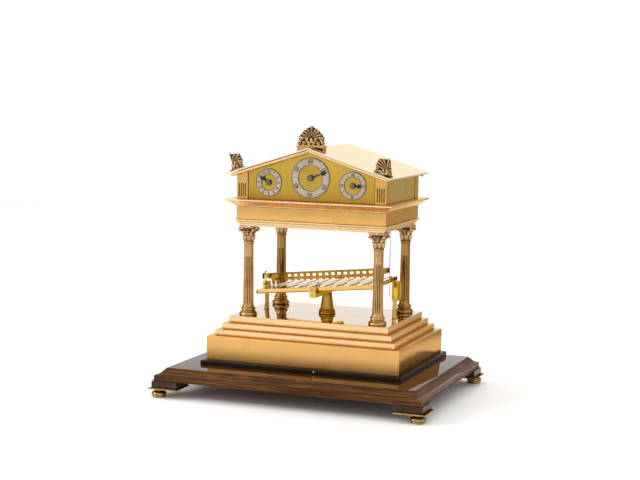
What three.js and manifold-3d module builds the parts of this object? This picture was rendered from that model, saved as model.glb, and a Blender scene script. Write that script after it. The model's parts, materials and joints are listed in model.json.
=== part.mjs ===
// Rolling-ball table clock in the form of a small temple, with a tilting table
// between four columns and three dials in the pediment.
// Millimetres, +Z up, front towards -Y. The origin is on the resting plane,
// under the centre of the wooden board.
import * as THREE from 'three';
import { mergeVertices } from 'three/addons/utils/BufferGeometryUtils.js';
import Module from 'manifold-3d';

const wasm = await Module();
wasm.setup();

// ---------------------------------------------------------------- driving dimensions
const PLATFORM_Z = 111;        // height of the polished platform above the table top
const CASE_Y = 18.5;           // the temple stands this far behind the middle of the board
const GAP = 0.3;               // clearance between pieces that touch

// wooden board and feet (z is measured from the platform)
const BOARD_HW = 200.3, BOARD_HD = 150.3, BOARD_TOP = -69.7, BOARD_BOTTOM = -87.5;
const BLOCK_SIZE = 40, BLOCK_OUT = 2, BLOCK_BOTTOM = -97;
const PLATE_SIZE = 44, PLATE_OUT = 5.5, PLATE_T = 1.8;
const FOOT_R = 11, FOOT_IN = 12, FLOOR = -111;

// stepped brass base: [half width, half depth, bottom, top]
const PLINTH = [152.8, 112.8, -69.4, -63.2];
const BASE = [146.8, 104.5, -62.9, -27.8];
const STEP1 = [137.4, 96.6, -27.5, -19.4];
const STEP2 = [129.8, 88.9, -19.1, -10.4];
const PLATFORM = [122.2, 81.4, -10.1, 0];

// columns
const COL_X = 100, COL_Y = 62.2, SHAFT_TOP = 109.0, CAP_TOP = 131.2;

// entablature
const ARCH = { z0: 131.5, z1: 141.2, hw: 116, hd: 77.4 };
const FRIEZE = { z0: 141.5, z1: 160.0, hw: 114, hd: 75.4, wall: 4 };
const CORNICE = { z0: 160.3, z1: 171.4, hw: 126.5, hd: 89.4 };

// pediment and roof
const ATTIC_Z = 171.7, ATTIC_HW = 114, ATTIC_HD = 75.4;
const PIL_W = 17, PIL_D = 14;
const EAVE_X = 124.5, ROOF_HD = 89, RIDGE_Z = 248.1, EAVE_Z = 209.0, ROOF_T = 2.2;
const SLOPE = (RIDGE_Z - EAVE_Z) / EAVE_X;
const underRoof = (x) => RIDGE_Z - ROOF_T - SLOPE * Math.abs(x);

// dials: [x, z, outer radius, inner radius]
const DIAL_HOUR = [-63.9, 196.3, 20.0, 11.6];
const DIAL_MIN = [0, 205.0, 29.3, 18.4];
const DIAL_SEC = [63.9, 196.3, 20.0, 12.6];
const DIAL_FACE = -74.4;       // front of the dial plate

// rocking table
const PIVOT_Z = 42.7, TILT = 5.8 * Math.PI / 180;
const TABLE_HW = 91, TABLE_HD = 55, TABLE_HT = 3.1;
const RUN_X0 = 84, RUN_PITCH = 9.88, RUN_N = 17, RUN_Y = 48, GROOVE_A = 2.75, GROOVE_DEPTH = 1.6;
const BALL_R = 3.0, BALL_W = TABLE_HT + 1.83, BALL_RUN = 8, BALL_YPOS = -30;
const ROD_X = 95.3, ROD_Y = 3.2, ROD_R = 0.8;
const CRANK_Z = 188, CRANK_R = 9.63;

// ---------------------------------------------------------------- finishes
const mat = (color, roughness, metalness) => new THREE.MeshStandardMaterial({ color, roughness, metalness });
const satin = () => mat(0xd9a860, 0.35, 1.0);
const bright = () => mat(0xf0cf92, 0.12, 1.0);
const patina = () => mat(0x8a6238, 0.45, 0.9);
const plateGold = () => mat(0xc2a23c, 0.4, 0.9);
const silvered = () => mat(0xc9c1ba, 0.5, 0.6);
const blued = () => mat(0x2c4f6e, 0.3, 0.9);
const steel = () => mat(0xb8bcc0, 0.25, 1.0);
const wood = () => mat(0x5a2f18, 0.25, 0.0);
const black = () => mat(0x17120f, 0.3, 0.0);

// ---------------------------------------------------------------- helpers
// A geometry reduced to a clean closed body with its faces pointing out.
function clean(geometry) {
  let g = geometry.clone();
    g.deleteAttribute('normal'); g.deleteAttribute('uv');
  g = mergeVertices(g, 1e-4);
  const p = g.attributes.position, idx = g.index.array, out = [];
  let vol = 0;
  const a = new THREE.Vector3(), b = new THREE.Vector3(), c = new THREE.Vector3();
  for (let i = 0; i < idx.length; i += 3) {
    const [i0, i1, i2] = [idx[i], idx[i + 1], idx[i + 2]];
    if (i0 === i1 || i1 === i2 || i0 === i2) continue;
    out.push(i0, i1, i2);
    a.fromBufferAttribute(p, i0); b.fromBufferAttribute(p, i1); c.fromBufferAttribute(p, i2);
    vol += a.dot(b.cross(c));
  }
  if (vol < 0) for (let i = 0; i < out.length; i += 3) { const t = out[i]; out[i] = out[i + 1]; out[i + 1] = t; }
  g.setIndex(out);
  return g;
}
function solid(geometry) {
  const g = clean(geometry);
  return new wasm.Manifold(new wasm.Mesh({
    numProp: 3,
    vertProperties: new Float32Array(g.attributes.position.array),
    triVerts: new Uint32Array(g.index.array),
  }));
}
function fromSolid(m) {
  const r = m.getMesh();
  const g = new THREE.BufferGeometry();
  const n = r.vertProperties.length / r.numProp, pos = new Float32Array(n * 3);
  for (let i = 0; i < n; i++) for (let k = 0; k < 3; k++) pos[3 * i + k] = r.vertProperties[i * r.numProp + k];
  g.setAttribute('position', new THREE.BufferAttribute(pos, 3));
  g.setIndex(Array.from(r.triVerts));
  return g;
}
const cut = (a, ...bs) => fromSolid(bs.reduce((m, b) => m.subtract(solid(b)), solid(a)));
const join = (a, ...bs) => fromSolid(bs.reduce((m, b) => m.add(solid(b)), solid(a)));

// A stack of rectangles, each [half width, half depth, z], closed at both ends.
function rectLoft(levels, cx = 0, cy = 0) {
  const pos = [], idx = [];
  for (const [w, d, z] of levels) {
    pos.push(cx - w, cy - d, z, cx + w, cy - d, z, cx + w, cy + d, z, cx - w, cy + d, z);
  }
  for (let k = 0; k + 1 < levels.length; k++) {
    for (let i = 0; i < 4; i++) {
      const a = 4 * k + i, b = 4 * k + (i + 1) % 4, c = b + 4, d = a + 4;
      idx.push(a, b, c, a, c, d);
    }
  }
  const t = 4 * (levels.length - 1);
  idx.push(0, 2, 1, 0, 3, 2, t, t + 1, t + 2, t, t + 2, t + 3);
  const g = new THREE.BufferGeometry();
  g.setAttribute('position', new THREE.Float32BufferAttribute(pos, 3));
  g.setIndex(idx);
  return g;
}
// A box from its lowest to its highest corner.
function box(x0, y0, z0, x1, y1, z1) {
  const g = new THREE.BoxGeometry(x1 - x0, y1 - y0, z1 - z0);
  g.translate((x0 + x1) / 2, (y0 + y1) / 2, (z0 + z1) / 2);
  return g;
}
// A turned shape from [radius, z] pairs that start and end on the axis.
function turned(profile, segments = 24) {
  const g = new THREE.LatheGeometry(profile.map(([r, z]) => new THREE.Vector2(r, z)), segments);
  g.rotateX(Math.PI / 2);
  return g;
}
// A turned shape about an axis along Y through (x, z), from [radius, y] pairs.
function turnedY(profile, x, z, segments = 24) {
  const g = new THREE.LatheGeometry(profile.map(([r, y]) => new THREE.Vector2(r, y)), segments);
  g.translate(x, 0, z);
  return g;
}
const rod = (r, y0, y1, x, z, segments = 16) => turnedY([[0, y0], [r, y0], [r, y1], [0, y1]], x, z, segments);
// A flat outline in the XZ plane, given thickness from y0 to y1.
function plateXZ(points, y0, y1, holes = []) {
  const s = new THREE.Shape(points.map(([x, z]) => new THREE.Vector2(x, z)));
  for (const h of holes) s.holes.push(new THREE.Path(h.map(([x, z]) => new THREE.Vector2(x, z))));
  const g = new THREE.ExtrudeGeometry(s, { depth: y1 - y0, bevelEnabled: false });
  g.rotateX(Math.PI / 2);
  g.translate(0, y1, 0);
  return g;
}
const circle = (x, z, r, n) => Array.from({ length: n }, (_, i) => {
  const t = 2 * Math.PI * i / n; return [x + r * Math.cos(t), z + r * Math.sin(t)];
});
// Frustum-ended stack with its upper outer edge broken by a small chamfer.
const slab = ([w, d, z0, z1], c = 0.5) => rectLoft([[w, d, z0], [w, d, z1 - c], [w - c, d - c, z1]]);

// ---------------------------------------------------------------- assembly
const clock = new THREE.Group();
clock.position.set(0, CASE_Y, PLATFORM_Z);
function add(name, geometry, material, parent = clock) {
  const m = new THREE.Mesh(clean(geometry), material);
  m.geometry.computeVertexNormals();
  m.name = name;
  parent.add(m);
  return m;
}
const CORNERS = [['front_left', -1, -1], ['front_right', 1, -1], ['back_left', -1, 1], ['back_right', 1, 1]];

// --- wooden board with its four glued corner blocks
const BY = -CASE_Y;
{
  const board = rectLoft([
    [198.6, 148.6, BOARD_BOTTOM], [BOARD_HW, BOARD_HD, -86.6], [BOARD_HW, BOARD_HD, -84.9],
    [199.4, 149.4, -84.3], [199.6, 149.6, -80.0], [199.0, 149.0, -79.1],
    [197.4, 147.4, -78.7], [194.6, 144.6, -77.8], [191.6, 141.6, -75.9], [189.4, 139.4, -73.6],
    [188.5, 138.5, -72.0], [187.0, 137.0, -71.8], [186.8, 136.8, -70.6], [185.3, 135.3, BOARD_TOP],
  ], 0, BY);
  const blocks = CORNERS.map(([, sx, sy]) => {
    const x1 = sx * (BOARD_HW + BLOCK_OUT), x0 = sx * (BOARD_HW + BLOCK_OUT - BLOCK_SIZE);
    const y1 = BY + sy * (BOARD_HD + BLOCK_OUT), y0 = BY + sy * (BOARD_HD + BLOCK_OUT - BLOCK_SIZE);
    return box(Math.min(x0, x1), Math.min(y0, y1), BLOCK_BOTTOM, Math.max(x0, x1), Math.max(y0, y1), BOARD_BOTTOM + 0.7);
  });
  add('wood_board', join(board, ...blocks), wood());
}
// --- feet: a square corner plate with a turned bun under it
for (const [n, sx, sy] of CORNERS) {
  const px = sx * (BOARD_HW + PLATE_OUT - PLATE_SIZE / 2), py = BY + sy * (BOARD_HD + PLATE_OUT - PLATE_SIZE / 2);
  const zt = BLOCK_BOTTOM - GAP, zb = zt - PLATE_T;
  const plate = rectLoft([[PLATE_SIZE / 2, PLATE_SIZE / 2, zb], [PLATE_SIZE / 2, PLATE_SIZE / 2, zt]], px, py);
  const bun = turned([[0, zb + 0.6], [5.2, zb + 0.6], [5.2, -101.6], [8.6, -102.8], [FOOT_R, -106.0],
    [10.2, -108.6], [8.4, -110.2], [8.4, FLOOR], [0, FLOOR]], 14);
  bun.translate(sx * (BOARD_HW + PLATE_OUT - FOOT_IN), BY + sy * (BOARD_HD + PLATE_OUT - FOOT_IN), 0);
  add('foot_' + n, join(plate, bun), satin());
}
add('blank_plaque', rectLoft([[34, 4.5, BOARD_TOP + GAP], [34, 4.5, BOARD_TOP + 1.1]], -2.5, -142), satin());
add('black_plinth', slab(PLINTH, 0.8), black());

// --- stepped base, hollow underneath
add('base_block', cut(slab(BASE), box(-140.8, -98.5, -70, 140.8, 98.5, -33.2), box(-124, -84, -40, 124, 84, -20)), satin());
add('lower_step', cut(slab(STEP1), box(-116, -76, -40, 116, 76, -10)), satin());
add('upper_step', cut(slab(STEP2), box(-112, -72, -30, 112, 72, -5)), satin());
add('platform', cut(slab(PLATFORM), box(-108, -68, -20, 108, 68, -4)), bright());

// --- columns: moulded foot and tapering shaft, with a leafed capital on each
for (const [n, sx, sy] of CORNERS) {
  const shaft = turned([[0, GAP], [12.7, GAP], [13.1, 2.4], [12.0, 5.2], [9.7, 6.8], [9.7, 8.4],
    [10.4, 10.8], [9.1, 13.6], [7.8, 17], [6.7, 105], [7.6, 106.2], [7.6, 107.8], [6.9, SHAFT_TOP], [0, SHAFT_TOP]], 14);
  shaft.translate(sx * COL_X, sy * COL_Y, 0);
  add('column_' + n, shaft, satin());
  const bell = turned([[0, SHAFT_TOP + GAP], [7.4, SHAFT_TOP + GAP], [9.4, 115.6], [8.6, 117.0],
    [10.8, 122.4], [9.8, 123.6], [12.4, 127.8], [12.4, 128.6], [0, 128.6]], 12);
  const abacus = [];
  for (let q = 0; q < 4; q++) {
    const a = q * Math.PI / 2 + Math.PI / 4;
    abacus.push([a - 0.1, 16.4], [a + 0.1, 16.4], [a + Math.PI / 8, 12.6], [a + Math.PI / 4, 11.2], [a + 3 * Math.PI / 8, 12.6]);
  }
  const shape = new THREE.Shape(abacus.map(([a, r]) => new THREE.Vector2(r * Math.cos(a), r * Math.sin(a))));
  const top = new THREE.ExtrudeGeometry(shape, { depth: 3.2, bevelEnabled: false });
  top.translate(0, 0, CAP_TOP - 3.2);
  const cap = join(bell, top);
  cap.translate(sx * COL_X, sy * COL_Y, 0);
  add('capital_' + n, cap, patina());
}

// --- entablature
{
  const slot = box(ROD_X - 8, ROD_Y - 2.6, 120, ROD_X + 8, ROD_Y + 2.6, 180);
  const arch = rectLoft([[108.6, 70, ARCH.z0], [110.6, 72, ARCH.z0 + 0.4], [112.2, 73.6, ARCH.z0 + 2.2], [113.4, 74.8, ARCH.z0 + 4.6],
    [115.4, 76.8, ARCH.z0 + 6.4], [ARCH.hw, ARCH.hd, ARCH.z0 + 7.2], [ARCH.hw, ARCH.hd, ARCH.z1]]);
  add('architrave', cut(arch, box(-104, -65, ARCH.z0 + 3.2, 104, 65, 150), slot), satin());
  const f = FRIEZE;
  add('frieze', cut(rectLoft([[f.hw, f.hd, f.z0], [f.hw, f.hd, f.z1]]),
    box(-f.hw + f.wall, -f.hd + f.wall, 130, f.hw - f.wall, f.hd - f.wall, 170)), satin());
  const c = CORNICE;
  const dx = c.hw - 114, dy = c.hd - 75.4;
  const cor = rectLoft([[114.6, 76.0, c.z0], [115.2, 76.6, c.z0 + 0.6], [114 + dx * 0.22, 75.4 + dy * 0.22, c.z0 + 2.6],
    [114 + dx * 0.42, 75.4 + dy * 0.42, c.z0 + 4.4], [114 + dx * 0.7, 75.4 + dy * 0.7, c.z0 + 6.0],
    [114 + dx * 0.86, 75.4 + dy * 0.86, c.z0 + 7.6], [114 + dx * 0.92, 75.4 + dy * 0.92, c.z0 + 9.4],
    [c.hw, c.hd, c.z0 + 9.8], [c.hw, c.hd, c.z1]]);
  add('cornice', cut(cor, box(-108, -69.4, 150, 108, 69.4, c.z1 - 3), slot), satin());
}

// --- pediment case
for (const [n, sx, sy] of CORNERS) {
  const xi = sx * (ATTIC_HW - PIL_W), xo = sx * ATTIC_HW;
  const y0 = Math.min(sy * ATTIC_HD, sy * (ATTIC_HD - PIL_D)), y1 = Math.max(sy * ATTIC_HD, sy * (ATTIC_HD - PIL_D));
  let g = plateXZ([[xi, ATTIC_Z], [xo, ATTIC_Z], [xo, underRoof(xo) - GAP], [xi, underRoof(xi) - GAP]], y0, y1);
  const slots = [];
  for (let k = 0; k < 4; k++) {
    const cx = sx * (ATTIC_HW - PIL_W / 2) + (k - 1.5) * 3.3;
    slots.push(box(cx - 0.8, sy * ATTIC_HD - 0.9, ATTIC_Z + 3, cx + 0.8, sy * ATTIC_HD + 0.9, ATTIC_Z + 22.5));
  }
  g = cut(g, ...slots);
  add('pilaster_' + n, g, satin());
}
const gable = (hw, c) => [[-hw, ATTIC_Z], [hw, ATTIC_Z], [hw, underRoof(hw) - c], [0, underRoof(0) - c], [-hw, underRoof(hw) - c]];
add('dial_plate', plateXZ(gable(96.2, GAP), DIAL_FACE, DIAL_FACE + 2, [
  circle(DIAL_HOUR[0], DIAL_HOUR[1], 2.4, 16), circle(DIAL_MIN[0], DIAL_MIN[1], 3.0, 16), circle(DIAL_SEC[0], DIAL_SEC[1], 2.4, 16)]), plateGold());
const WIND = [-20, 186];
add('back_panel', plateXZ(gable(96.2, GAP), 72.4, 74.4, [circle(WIND[0], WIND[1], 6, 20)]), plateGold());
for (const [n, sx] of [['left', -1], ['right', 1]]) {
  const x0 = sx * 111.0, x1 = sx * 112.6;
  add('side_panel_' + n, plateXZ([[x0, ATTIC_Z], [x1, ATTIC_Z], [x1, underRoof(x1) - GAP], [x0, underRoof(x0) - GAP]], -60.9, 60.9), plateGold());
  const g = plateXZ([[sx * 0.15, RIDGE_Z - SLOPE * 0.15], [sx * EAVE_X, EAVE_Z], [sx * EAVE_X, EAVE_Z - ROOF_T], [sx * 0.15, underRoof(0.15)]], -ROOF_HD, ROOF_HD);
  add('roof_panel_' + n, g, bright());
}
for (const [n, y0, y1] of [['front', -86.6, -75.8], ['back', 75.8, 86.6]]) {
  const c = GAP + 0.5, h = 4.8, w = 118.5;
  add('raking_moulding_' + n, plateXZ([[0, underRoof(0) - c], [-w, underRoof(w) - c], [-w, underRoof(w) - c - h * 0.55],
    [-w + 4, underRoof(w - 4) - c - h], [0, underRoof(0) - c - h], [w - 4, underRoof(w - 4) - c - h],
    [w, underRoof(w) - c - h * 0.55], [w, underRoof(w) - c]], y0, y1), satin());
}

// --- finials: a palmette on a small block astride the ridge, and one at each front corner
function palmette(w, h, n) {
  const pts = [];
  pts.push([-w * 0.36, 0], [w * 0.36, 0], [w * 0.5, h * 0.05], [w * 0.5, h * 0.2]);
  for (let i = 0; i < n; i++) {
    const a0 = Math.PI * (0.1 + 0.8 * i / n), a1 = Math.PI * (0.1 + 0.8 * (i + 0.5) / n), a2 = Math.PI * (0.1 + 0.8 * (i + 1) / n);
    const tip = (a) => { const s = Math.sin(a); return [Math.cos(a) * w * 0.46, h * 0.2 + h * 0.8 * Math.pow(s, 0.9)]; };
    const root = (a) => { const [x, z] = tip(a); return [x * 0.9, h * 0.2 + (z - h * 0.2) * 0.9]; };
    pts.push(root(a0), tip(a0 + (a1 - a0) * 0.6), tip(a1 + (a2 - a1) * 0.4));
    if (i === n - 1) pts.push(root(a2));
  }
  pts.push([-w * 0.5, h * 0.2], [-w * 0.5, h * 0.05]);
  return pts;
}
{
  const y0 = -77.5, y1 = -68.5, zb = RIDGE_Z + GAP;
  const notch = (x) => zb - SLOPE * Math.abs(x);
  const block = plateXZ([[0, zb], [20.5, notch(20.5)], [20.5, zb + 0.6], [-20.5, zb + 0.6], [-20.5, notch(20.5)]], y0, y1);
  const slab1 = plateXZ([[-21.4, zb + 0.3], [21.4, zb + 0.3], [21.4, zb + 2.6], [-21.4, zb + 2.6]], y0 - 0.6, y1 + 0.6);
  const leaf = plateXZ(palmette(44, 28.6, 9).map(([x, z]) => [x, z + zb + 2.2]), -75.6, -70.4);
  add('finial_centre', join(block, slab1, leaf), patina());
  for (const [n, sx] of [['left', -1], ['right', 1]]) {
    // two half palmettes that meet over the corner of the roof and stand on its slope
    const cx = 117, cy = -84.8, roofZ = (x) => RIDGE_Z - SLOPE * Math.abs(x);
    const slope = (a, b, lo, hi, y0, y1) => plateXZ([[sx * a, roofZ(a) + lo], [sx * b, roofZ(b) + lo], [sx * b, roofZ(b) + hi], [sx * a, roofZ(a) + hi]], y0, y1);
    const outline = palmette(36, 25.5, 9);
    let front = plateXZ(outline.map(([x, z]) => [sx * (cx + x), z + 0.6 + roofZ(cx + x)]), cy - 2.3, cy + 2.3);
    front = cut(front, box(Math.min(sx * 119.3, sx * 150), -120, 150, Math.max(sx * 119.3, sx * 150), -40, 280));
    let side = plateXZ(outline.map(([x, z]) => [x, z + 0.6 + roofZ(cx)]), -2.3, 2.3);
    side.rotateZ(Math.PI / 2);
    side.translate(sx * cx, cy, 0);
    side = cut(side, box(-150, -120, 150, 150, cy - 2.3, 280));
    let g = join(slope(98, 120.4, -3, 1.7, cy - 3.4, cy + 3.4), slope(113.6, 120.4, -3, 1.7, cy - 3.4, -66), front, side);
    // the underside follows the slope of the roof
    const x0 = sx * 60, x1 = sx * 150, top = (x) => RIDGE_Z + GAP - SLOPE * Math.abs(x);
    g = cut(g, plateXZ([[x0, top(x0)], [x1, top(x1)], [x1, 150], [x0, 150]], -140, 0));
    add('finial_' + n, g, patina());
  }
}

// --- dials and hands
for (const [n, d] of [['hour', DIAL_HOUR], ['minute', DIAL_MIN], ['seconds', DIAL_SEC]]) {
  const yb = DIAL_FACE - GAP;
  add('chapter_ring_' + n, turnedY([[d[3], yb], [d[3], yb - 1.0], [d[2], yb - 1.0], [d[2], yb], [d[3], yb]], d[0], d[1], 36), silvered());
}
// Hand with a ring boss, a tapering blade and a spade tip, pointing to `angle` clockwise from 12.
function hand([x, z], angle, length, boss, tip, y0, y1, arborR, arborEnd) {
  const a = Math.PI / 2 - angle, pts = [];
  const c = Math.cos(a), s = Math.sin(a);
  const P = (u, v) => [x + u * c - v * s, z + u * s + v * c];
  const outline = [[boss * 0.9, -0.8], [length - tip * 2.6, -0.55], [length - tip * 2.2, -tip * 0.8], [length - tip * 1.5, -tip], [length - tip * 0.8, -tip * 0.6],
    [length, 0], [length - tip * 0.8, tip * 0.6], [length - tip * 1.5, tip], [length - tip * 2.2, tip * 0.8], [length - tip * 2.6, 0.55], [boss * 0.9, 0.8]];
  for (const [u, v] of outline) pts.push(P(u, v));
  const blade = plateXZ(pts, y0, y1);
  const collet = turnedY([[0, y0 - 1.2], [boss * 0.55, y0 - 1.2], [boss * 0.62, y0 - 0.4], [boss, y0 - 0.2], [boss, y1 + 0.1], [arborR, y1 + 0.1], [arborR, arborEnd], [0, arborEnd]], x, z, 14);
  return join(collet, blade);
}
const HY0 = -77.6, HY1 = -76.8;
add('hour_hand', hand(DIAL_HOUR, 302 * Math.PI / 180, 14.6, 4.4, 2.3, HY0, HY1, 1.6, -34.7), blued());
add('minute_hand', hand(DIAL_MIN, 69 * Math.PI / 180, 25.0, 4.8, 3.1, HY0, HY1, 2.2, -34.7), blued());
add('seconds_hand', hand(DIAL_SEC, 93 * Math.PI / 180, 12.8, 4.4, 2.2, HY0, HY1, 1.6, -34.7), blued());

// --- movement behind the dials
const FRONT_P = [-66.0, -63.6], BACK_P = [-34.0, -31.6];
const plateOutline = [[-84, ATTIC_Z + 0.3], [88, ATTIC_Z + 0.3], [88, 206], [36, 223], [-36, 223], [-84, 206]];
const ARBORS = [[DIAL_HOUR[0], DIAL_HOUR[1], 2.4], [DIAL_MIN[0], DIAL_MIN[1], 3.0], [DIAL_SEC[0], DIAL_SEC[1], 2.4]];
add('movement_front_plate', plateXZ(plateOutline, FRONT_P[0], FRONT_P[1], ARBORS.map(([x, z, r]) => circle(x, z, r, 16))), bright());
{
  const hole = circle(WIND[0], WIND[1], 4.0, 16);
  const back = plateXZ(plateOutline, BACK_P[0], BACK_P[1], [hole]);
  const pillars = [[-78, 177], [82, 177], [-34, 217.5], [34, 217.5]].map(([x, z]) => rod(3, FRONT_P[1] + GAP, BACK_P[0] + 0.5, x, z, 12));
  const boss = rod(5, BACK_P[1] - 0.3, -11.4, ROD_X, CRANK_Z, 12);
  const arm = box(84, BACK_P[0], CRANK_Z - 5, ROD_X, BACK_P[1], CRANK_Z + 5);
  const round = rod(5, BACK_P[0], BACK_P[1], ROD_X, CRANK_Z, 12);
  add('movement_back_plate', join(back, arm, round, boss, ...pillars), bright());
}
// Toothed wheel with five crossings.
function wheel([x, z], r, teeth, y0, y1, bore) {
  const o = [];
  for (let i = 0; i < teeth; i++) {
    const a = 2 * Math.PI * i / teeth, w = Math.PI / teeth;
    o.push([x + (r - 1.4) * Math.cos(a - w * 0.5), z + (r - 1.4) * Math.sin(a - w * 0.5)]);
    o.push([x + r * Math.cos(a + w * 0.1), z + r * Math.sin(a + w * 0.1)]);
    o.push([x + r * Math.cos(a + w * 0.7), z + r * Math.sin(a + w * 0.7)]);
  }
  const holes = [];
  const ri = bore + 2.2, ro = r - 3.6;
  for (let k = 0; k < 5; k++) {
    const a0 = 2 * Math.PI * k / 5 + 0.16, a1 = 2 * Math.PI * (k + 1) / 5 - 0.16, h = [];
    for (let j = 0; j <= 4; j += 2) { const a = a0 + (a1 - a0) * j / 4; h.push([x + ro * Math.cos(a), z + ro * Math.sin(a)]); }
    for (let j = 4; j >= 0; j -= 4) { const a = a0 + 0.1 + (a1 - a0 - 0.2) * j / 4; h.push([x + ri * Math.cos(a), z + ri * Math.sin(a)]); }
    holes.push(h);
  }
  holes.push(circle(x, z, bore, 12));
  return plateXZ(o, y0, y1, holes);
}
add('hour_wheel', wheel(DIAL_HOUR, 17.5, 26, -56, -54.2, 1.9), bright());
add('centre_wheel', wheel(DIAL_MIN, 16, 24, -56, -54.2, 2.5), bright());
add('seconds_wheel', wheel(DIAL_SEC, 14.5, 22, -56, -54.2, 1.9), bright());
add('mainspring_barrel', turnedY([[0, -51.2], [3, -51.2], [3, -50.4], [14.2, -50.4], [14.2, -35.4], [3, -35.4],
  [3, -22], [2.2, -20], [2.2, -14], [0, -14]], WIND[0], WIND[1], 20), bright());

// --- crank, connecting rod
{
  const disc = turnedY([[0, -10.8], [1.6, -10.8], [1.6, -8.4], [11.4, -8.4], [11.4, -5.6], [0, -5.6]], ROD_X, CRANK_Z, 20);
  const pin = rod(1.3, -6.4, ROD_Y - 1.8, ROD_X, CRANK_Z + CRANK_R, 12);
  add('crank_disc', join(disc, pin), steel());
  const zt = CRANK_Z + CRANK_R;
  const eye = turnedY([[1.6, ROD_Y - 1.2], [3.2, ROD_Y - 1.2], [3.2, ROD_Y + 1.2], [1.6, ROD_Y + 1.2], [1.6, ROD_Y - 1.2]], ROD_X, zt, 20);
  const stem = turned([[0, 31], [ROD_R, 31], [ROD_R, zt - 2.4], [0, zt - 2.4]], 12);
  stem.translate(ROD_X, ROD_Y, 0);
  add('connecting_rod', join(eye, stem), steel());
}

// --- central pillar and cradle
add('central_pillar', turned([[0, GAP], [11.8, GAP], [12.6, 1.2], [12.6, 2.6], [11.4, 3.6], [12.0, 4.6], [12.0, 6.0], [10.4, 7.2], [9.6, 8.6],
  [9.3, 12], [8.2, 20], [6.9, 31], [0, 31]], 16), satin());
{
  const bar = box(-4.6, -61.5, 31.3, 4.6, 61.5, 37.6);
  const ears = [[-61.5, -56.6], [56.6, 61.5]].map(([y0, y1]) => box(-4.9, y0, 31.6, 4.9, y1, 47.4));
  add('cradle_bar', cut(join(bar, ...ears), rod(1.9, -70, 70, 0, PIVOT_Z, 16)), satin());
}

// --- rocking table with its zigzag groove, the bridge over it and the ball
const rocker = new THREE.Group();
rocker.position.set(0, 0, PIVOT_Z);
rocker.rotation.y = -TILT;
clock.add(rocker);
const turn = (k) => [RUN_X0 - RUN_PITCH * k, k % 2 === 0 ? RUN_Y : -RUN_Y];
{
  const plate = rectLoft([[TABLE_HW, TABLE_HD, -TABLE_HT], [TABLE_HW, TABLE_HD, TABLE_HT]]);
  let m = solid(plate);
  for (const s of [-1, 1]) m = m.add(solid(rod(1.5, s > 0 ? TABLE_HD - 1 : -TABLE_HD - 6.8, s > 0 ? TABLE_HD + 6.8 : -TABLE_HD + 1, 0, 0, 12)));
  for (let k = 0; k < RUN_N; k++) {
    const [xa, ya] = turn(k), [xb, yb] = turn(k + 1);
    const g = new THREE.BoxGeometry(2 * GROOVE_A, Math.hypot(xb - xa, yb - ya), 2 * GROOVE_DEPTH);
    g.rotateZ(-Math.atan2(xb - xa, yb - ya));
    g.translate((xa + xb) / 2, (ya + yb) / 2, TABLE_HT);
    m = m.subtract(solid(g));
  }
  for (let k = 0; k <= RUN_N; k++) {
    const [x, y] = turn(k);
    const g = new THREE.CylinderGeometry(GROOVE_A + 0.15, GROOVE_A + 0.15, 2 * GROOVE_DEPTH, 10);
    g.rotateX(Math.PI / 2);
    g.translate(x, y, TABLE_HT);
    m = m.subtract(solid(g));
  }
  add('rocking_table', fromSolid(m), bright(), rocker);
}
{
  // pierced gallery: a scallop over each run of the groove and an opening above it
  const w0 = TABLE_HT + GAP, wt = 21.3, half = RUN_PITCH * RUN_N / 2;
  const up = [[-100.6, wt], [-100.6, 12.6], [-98.6, 11.4], [-half - 4.5, 11.4], [-half - 3.6, w0], [-half - 0.9, w0]];
  const pts = up.slice();
  for (let i = 0; i < RUN_N; i++) {
    const xc = -half + RUN_PITCH * (i + 0.5);
    pts.push([xc - 4.4, 8.3], [xc - 2.6, 9.9], [xc + 2.6, 9.9], [xc + 4.4, 8.3]);
  }
  pts.push([half + 0.9, w0], [half + 3.6, w0], [half + 4.5, 11.4], [94.2, 11.4], [95.6, 12.6], [95.6, wt]);
  const holes = [];
  for (let i = 0; i < RUN_N; i++) {
    const xc = -half + RUN_PITCH * (i + 0.5);
    holes.push(circle(xc, 16.2, 3.3, 8));
  }
  add('bridge', plateXZ(pts.reverse(), -1.75, 1.75, holes), satin(), rocker);
}
{
  const [xa, ya] = turn(BALL_RUN), [xb, yb] = turn(BALL_RUN + 1), t = (BALL_YPOS - ya) / (yb - ya);
  const g = new THREE.IcosahedronGeometry(BALL_R, 2);
  g.translate(xa + (xb - xa) * t, BALL_YPOS, BALL_W);
  add('rolling_ball', g, steel(), rocker);
}

// --- side posts with the release levers
{
  const shaft = turned([[0, GAP], [4.2, GAP], [4.2, 1.2], [3.4, 1.8], [3.3, 34], [0, 34]], 20);
  shaft.translate(-97, 0, 0);
  add('left_post', join(shaft, box(-102.4, -5.0, 33.4, -92.8, 5.0, 42.6)), satin());
  const shaftR = turned([[0, GAP], [4.2, GAP], [4.2, 1.2], [3.4, 1.8], [3.3, 30], [0, 30]], 20);
  shaftR.translate(105, 0, 0);
  const body = box(101.2, -4.6, 26.0, 110.2, 14.4, 54.0);
  add('right_post', join(shaftR, cut(body, box(103.2, -6, 29, 108.2, -2.4, 51), box(103.2, 12.2, 29, 108.2, 16, 51))), satin());
  const lever = (x, z, s) => {
    const hub = rod(2.6, -10.2, -6.0, x, z, 16);
    const arm = plateXZ([[x - s * 1.2, z], [x + s * 1.2, z - 0.6], [x - s * 2.6, z + 12.6], [x - s * 5.0, z + 13.0]].map(([a, b]) => [a, b]), -9.4, -7.2);
    const knob = rod(2.1, -9.9, -6.7, x - s * 3.9, z + 13.6, 14);
    return join(hub, arm, knob);
  };
  add('left_release_lever', lever(-97.6, 38, -1), satin());
  add('right_release_lever', lever(105.7, 47.6, 1), satin());
}

export default clock;
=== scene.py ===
# Looks of the rolling-ball temple clock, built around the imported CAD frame.
import json
import math
import random
import bmesh
import bpy
import numpy as np
from mathutils import Matrix, Vector
from mathutils.geometry import tessellate_polygon


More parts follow.
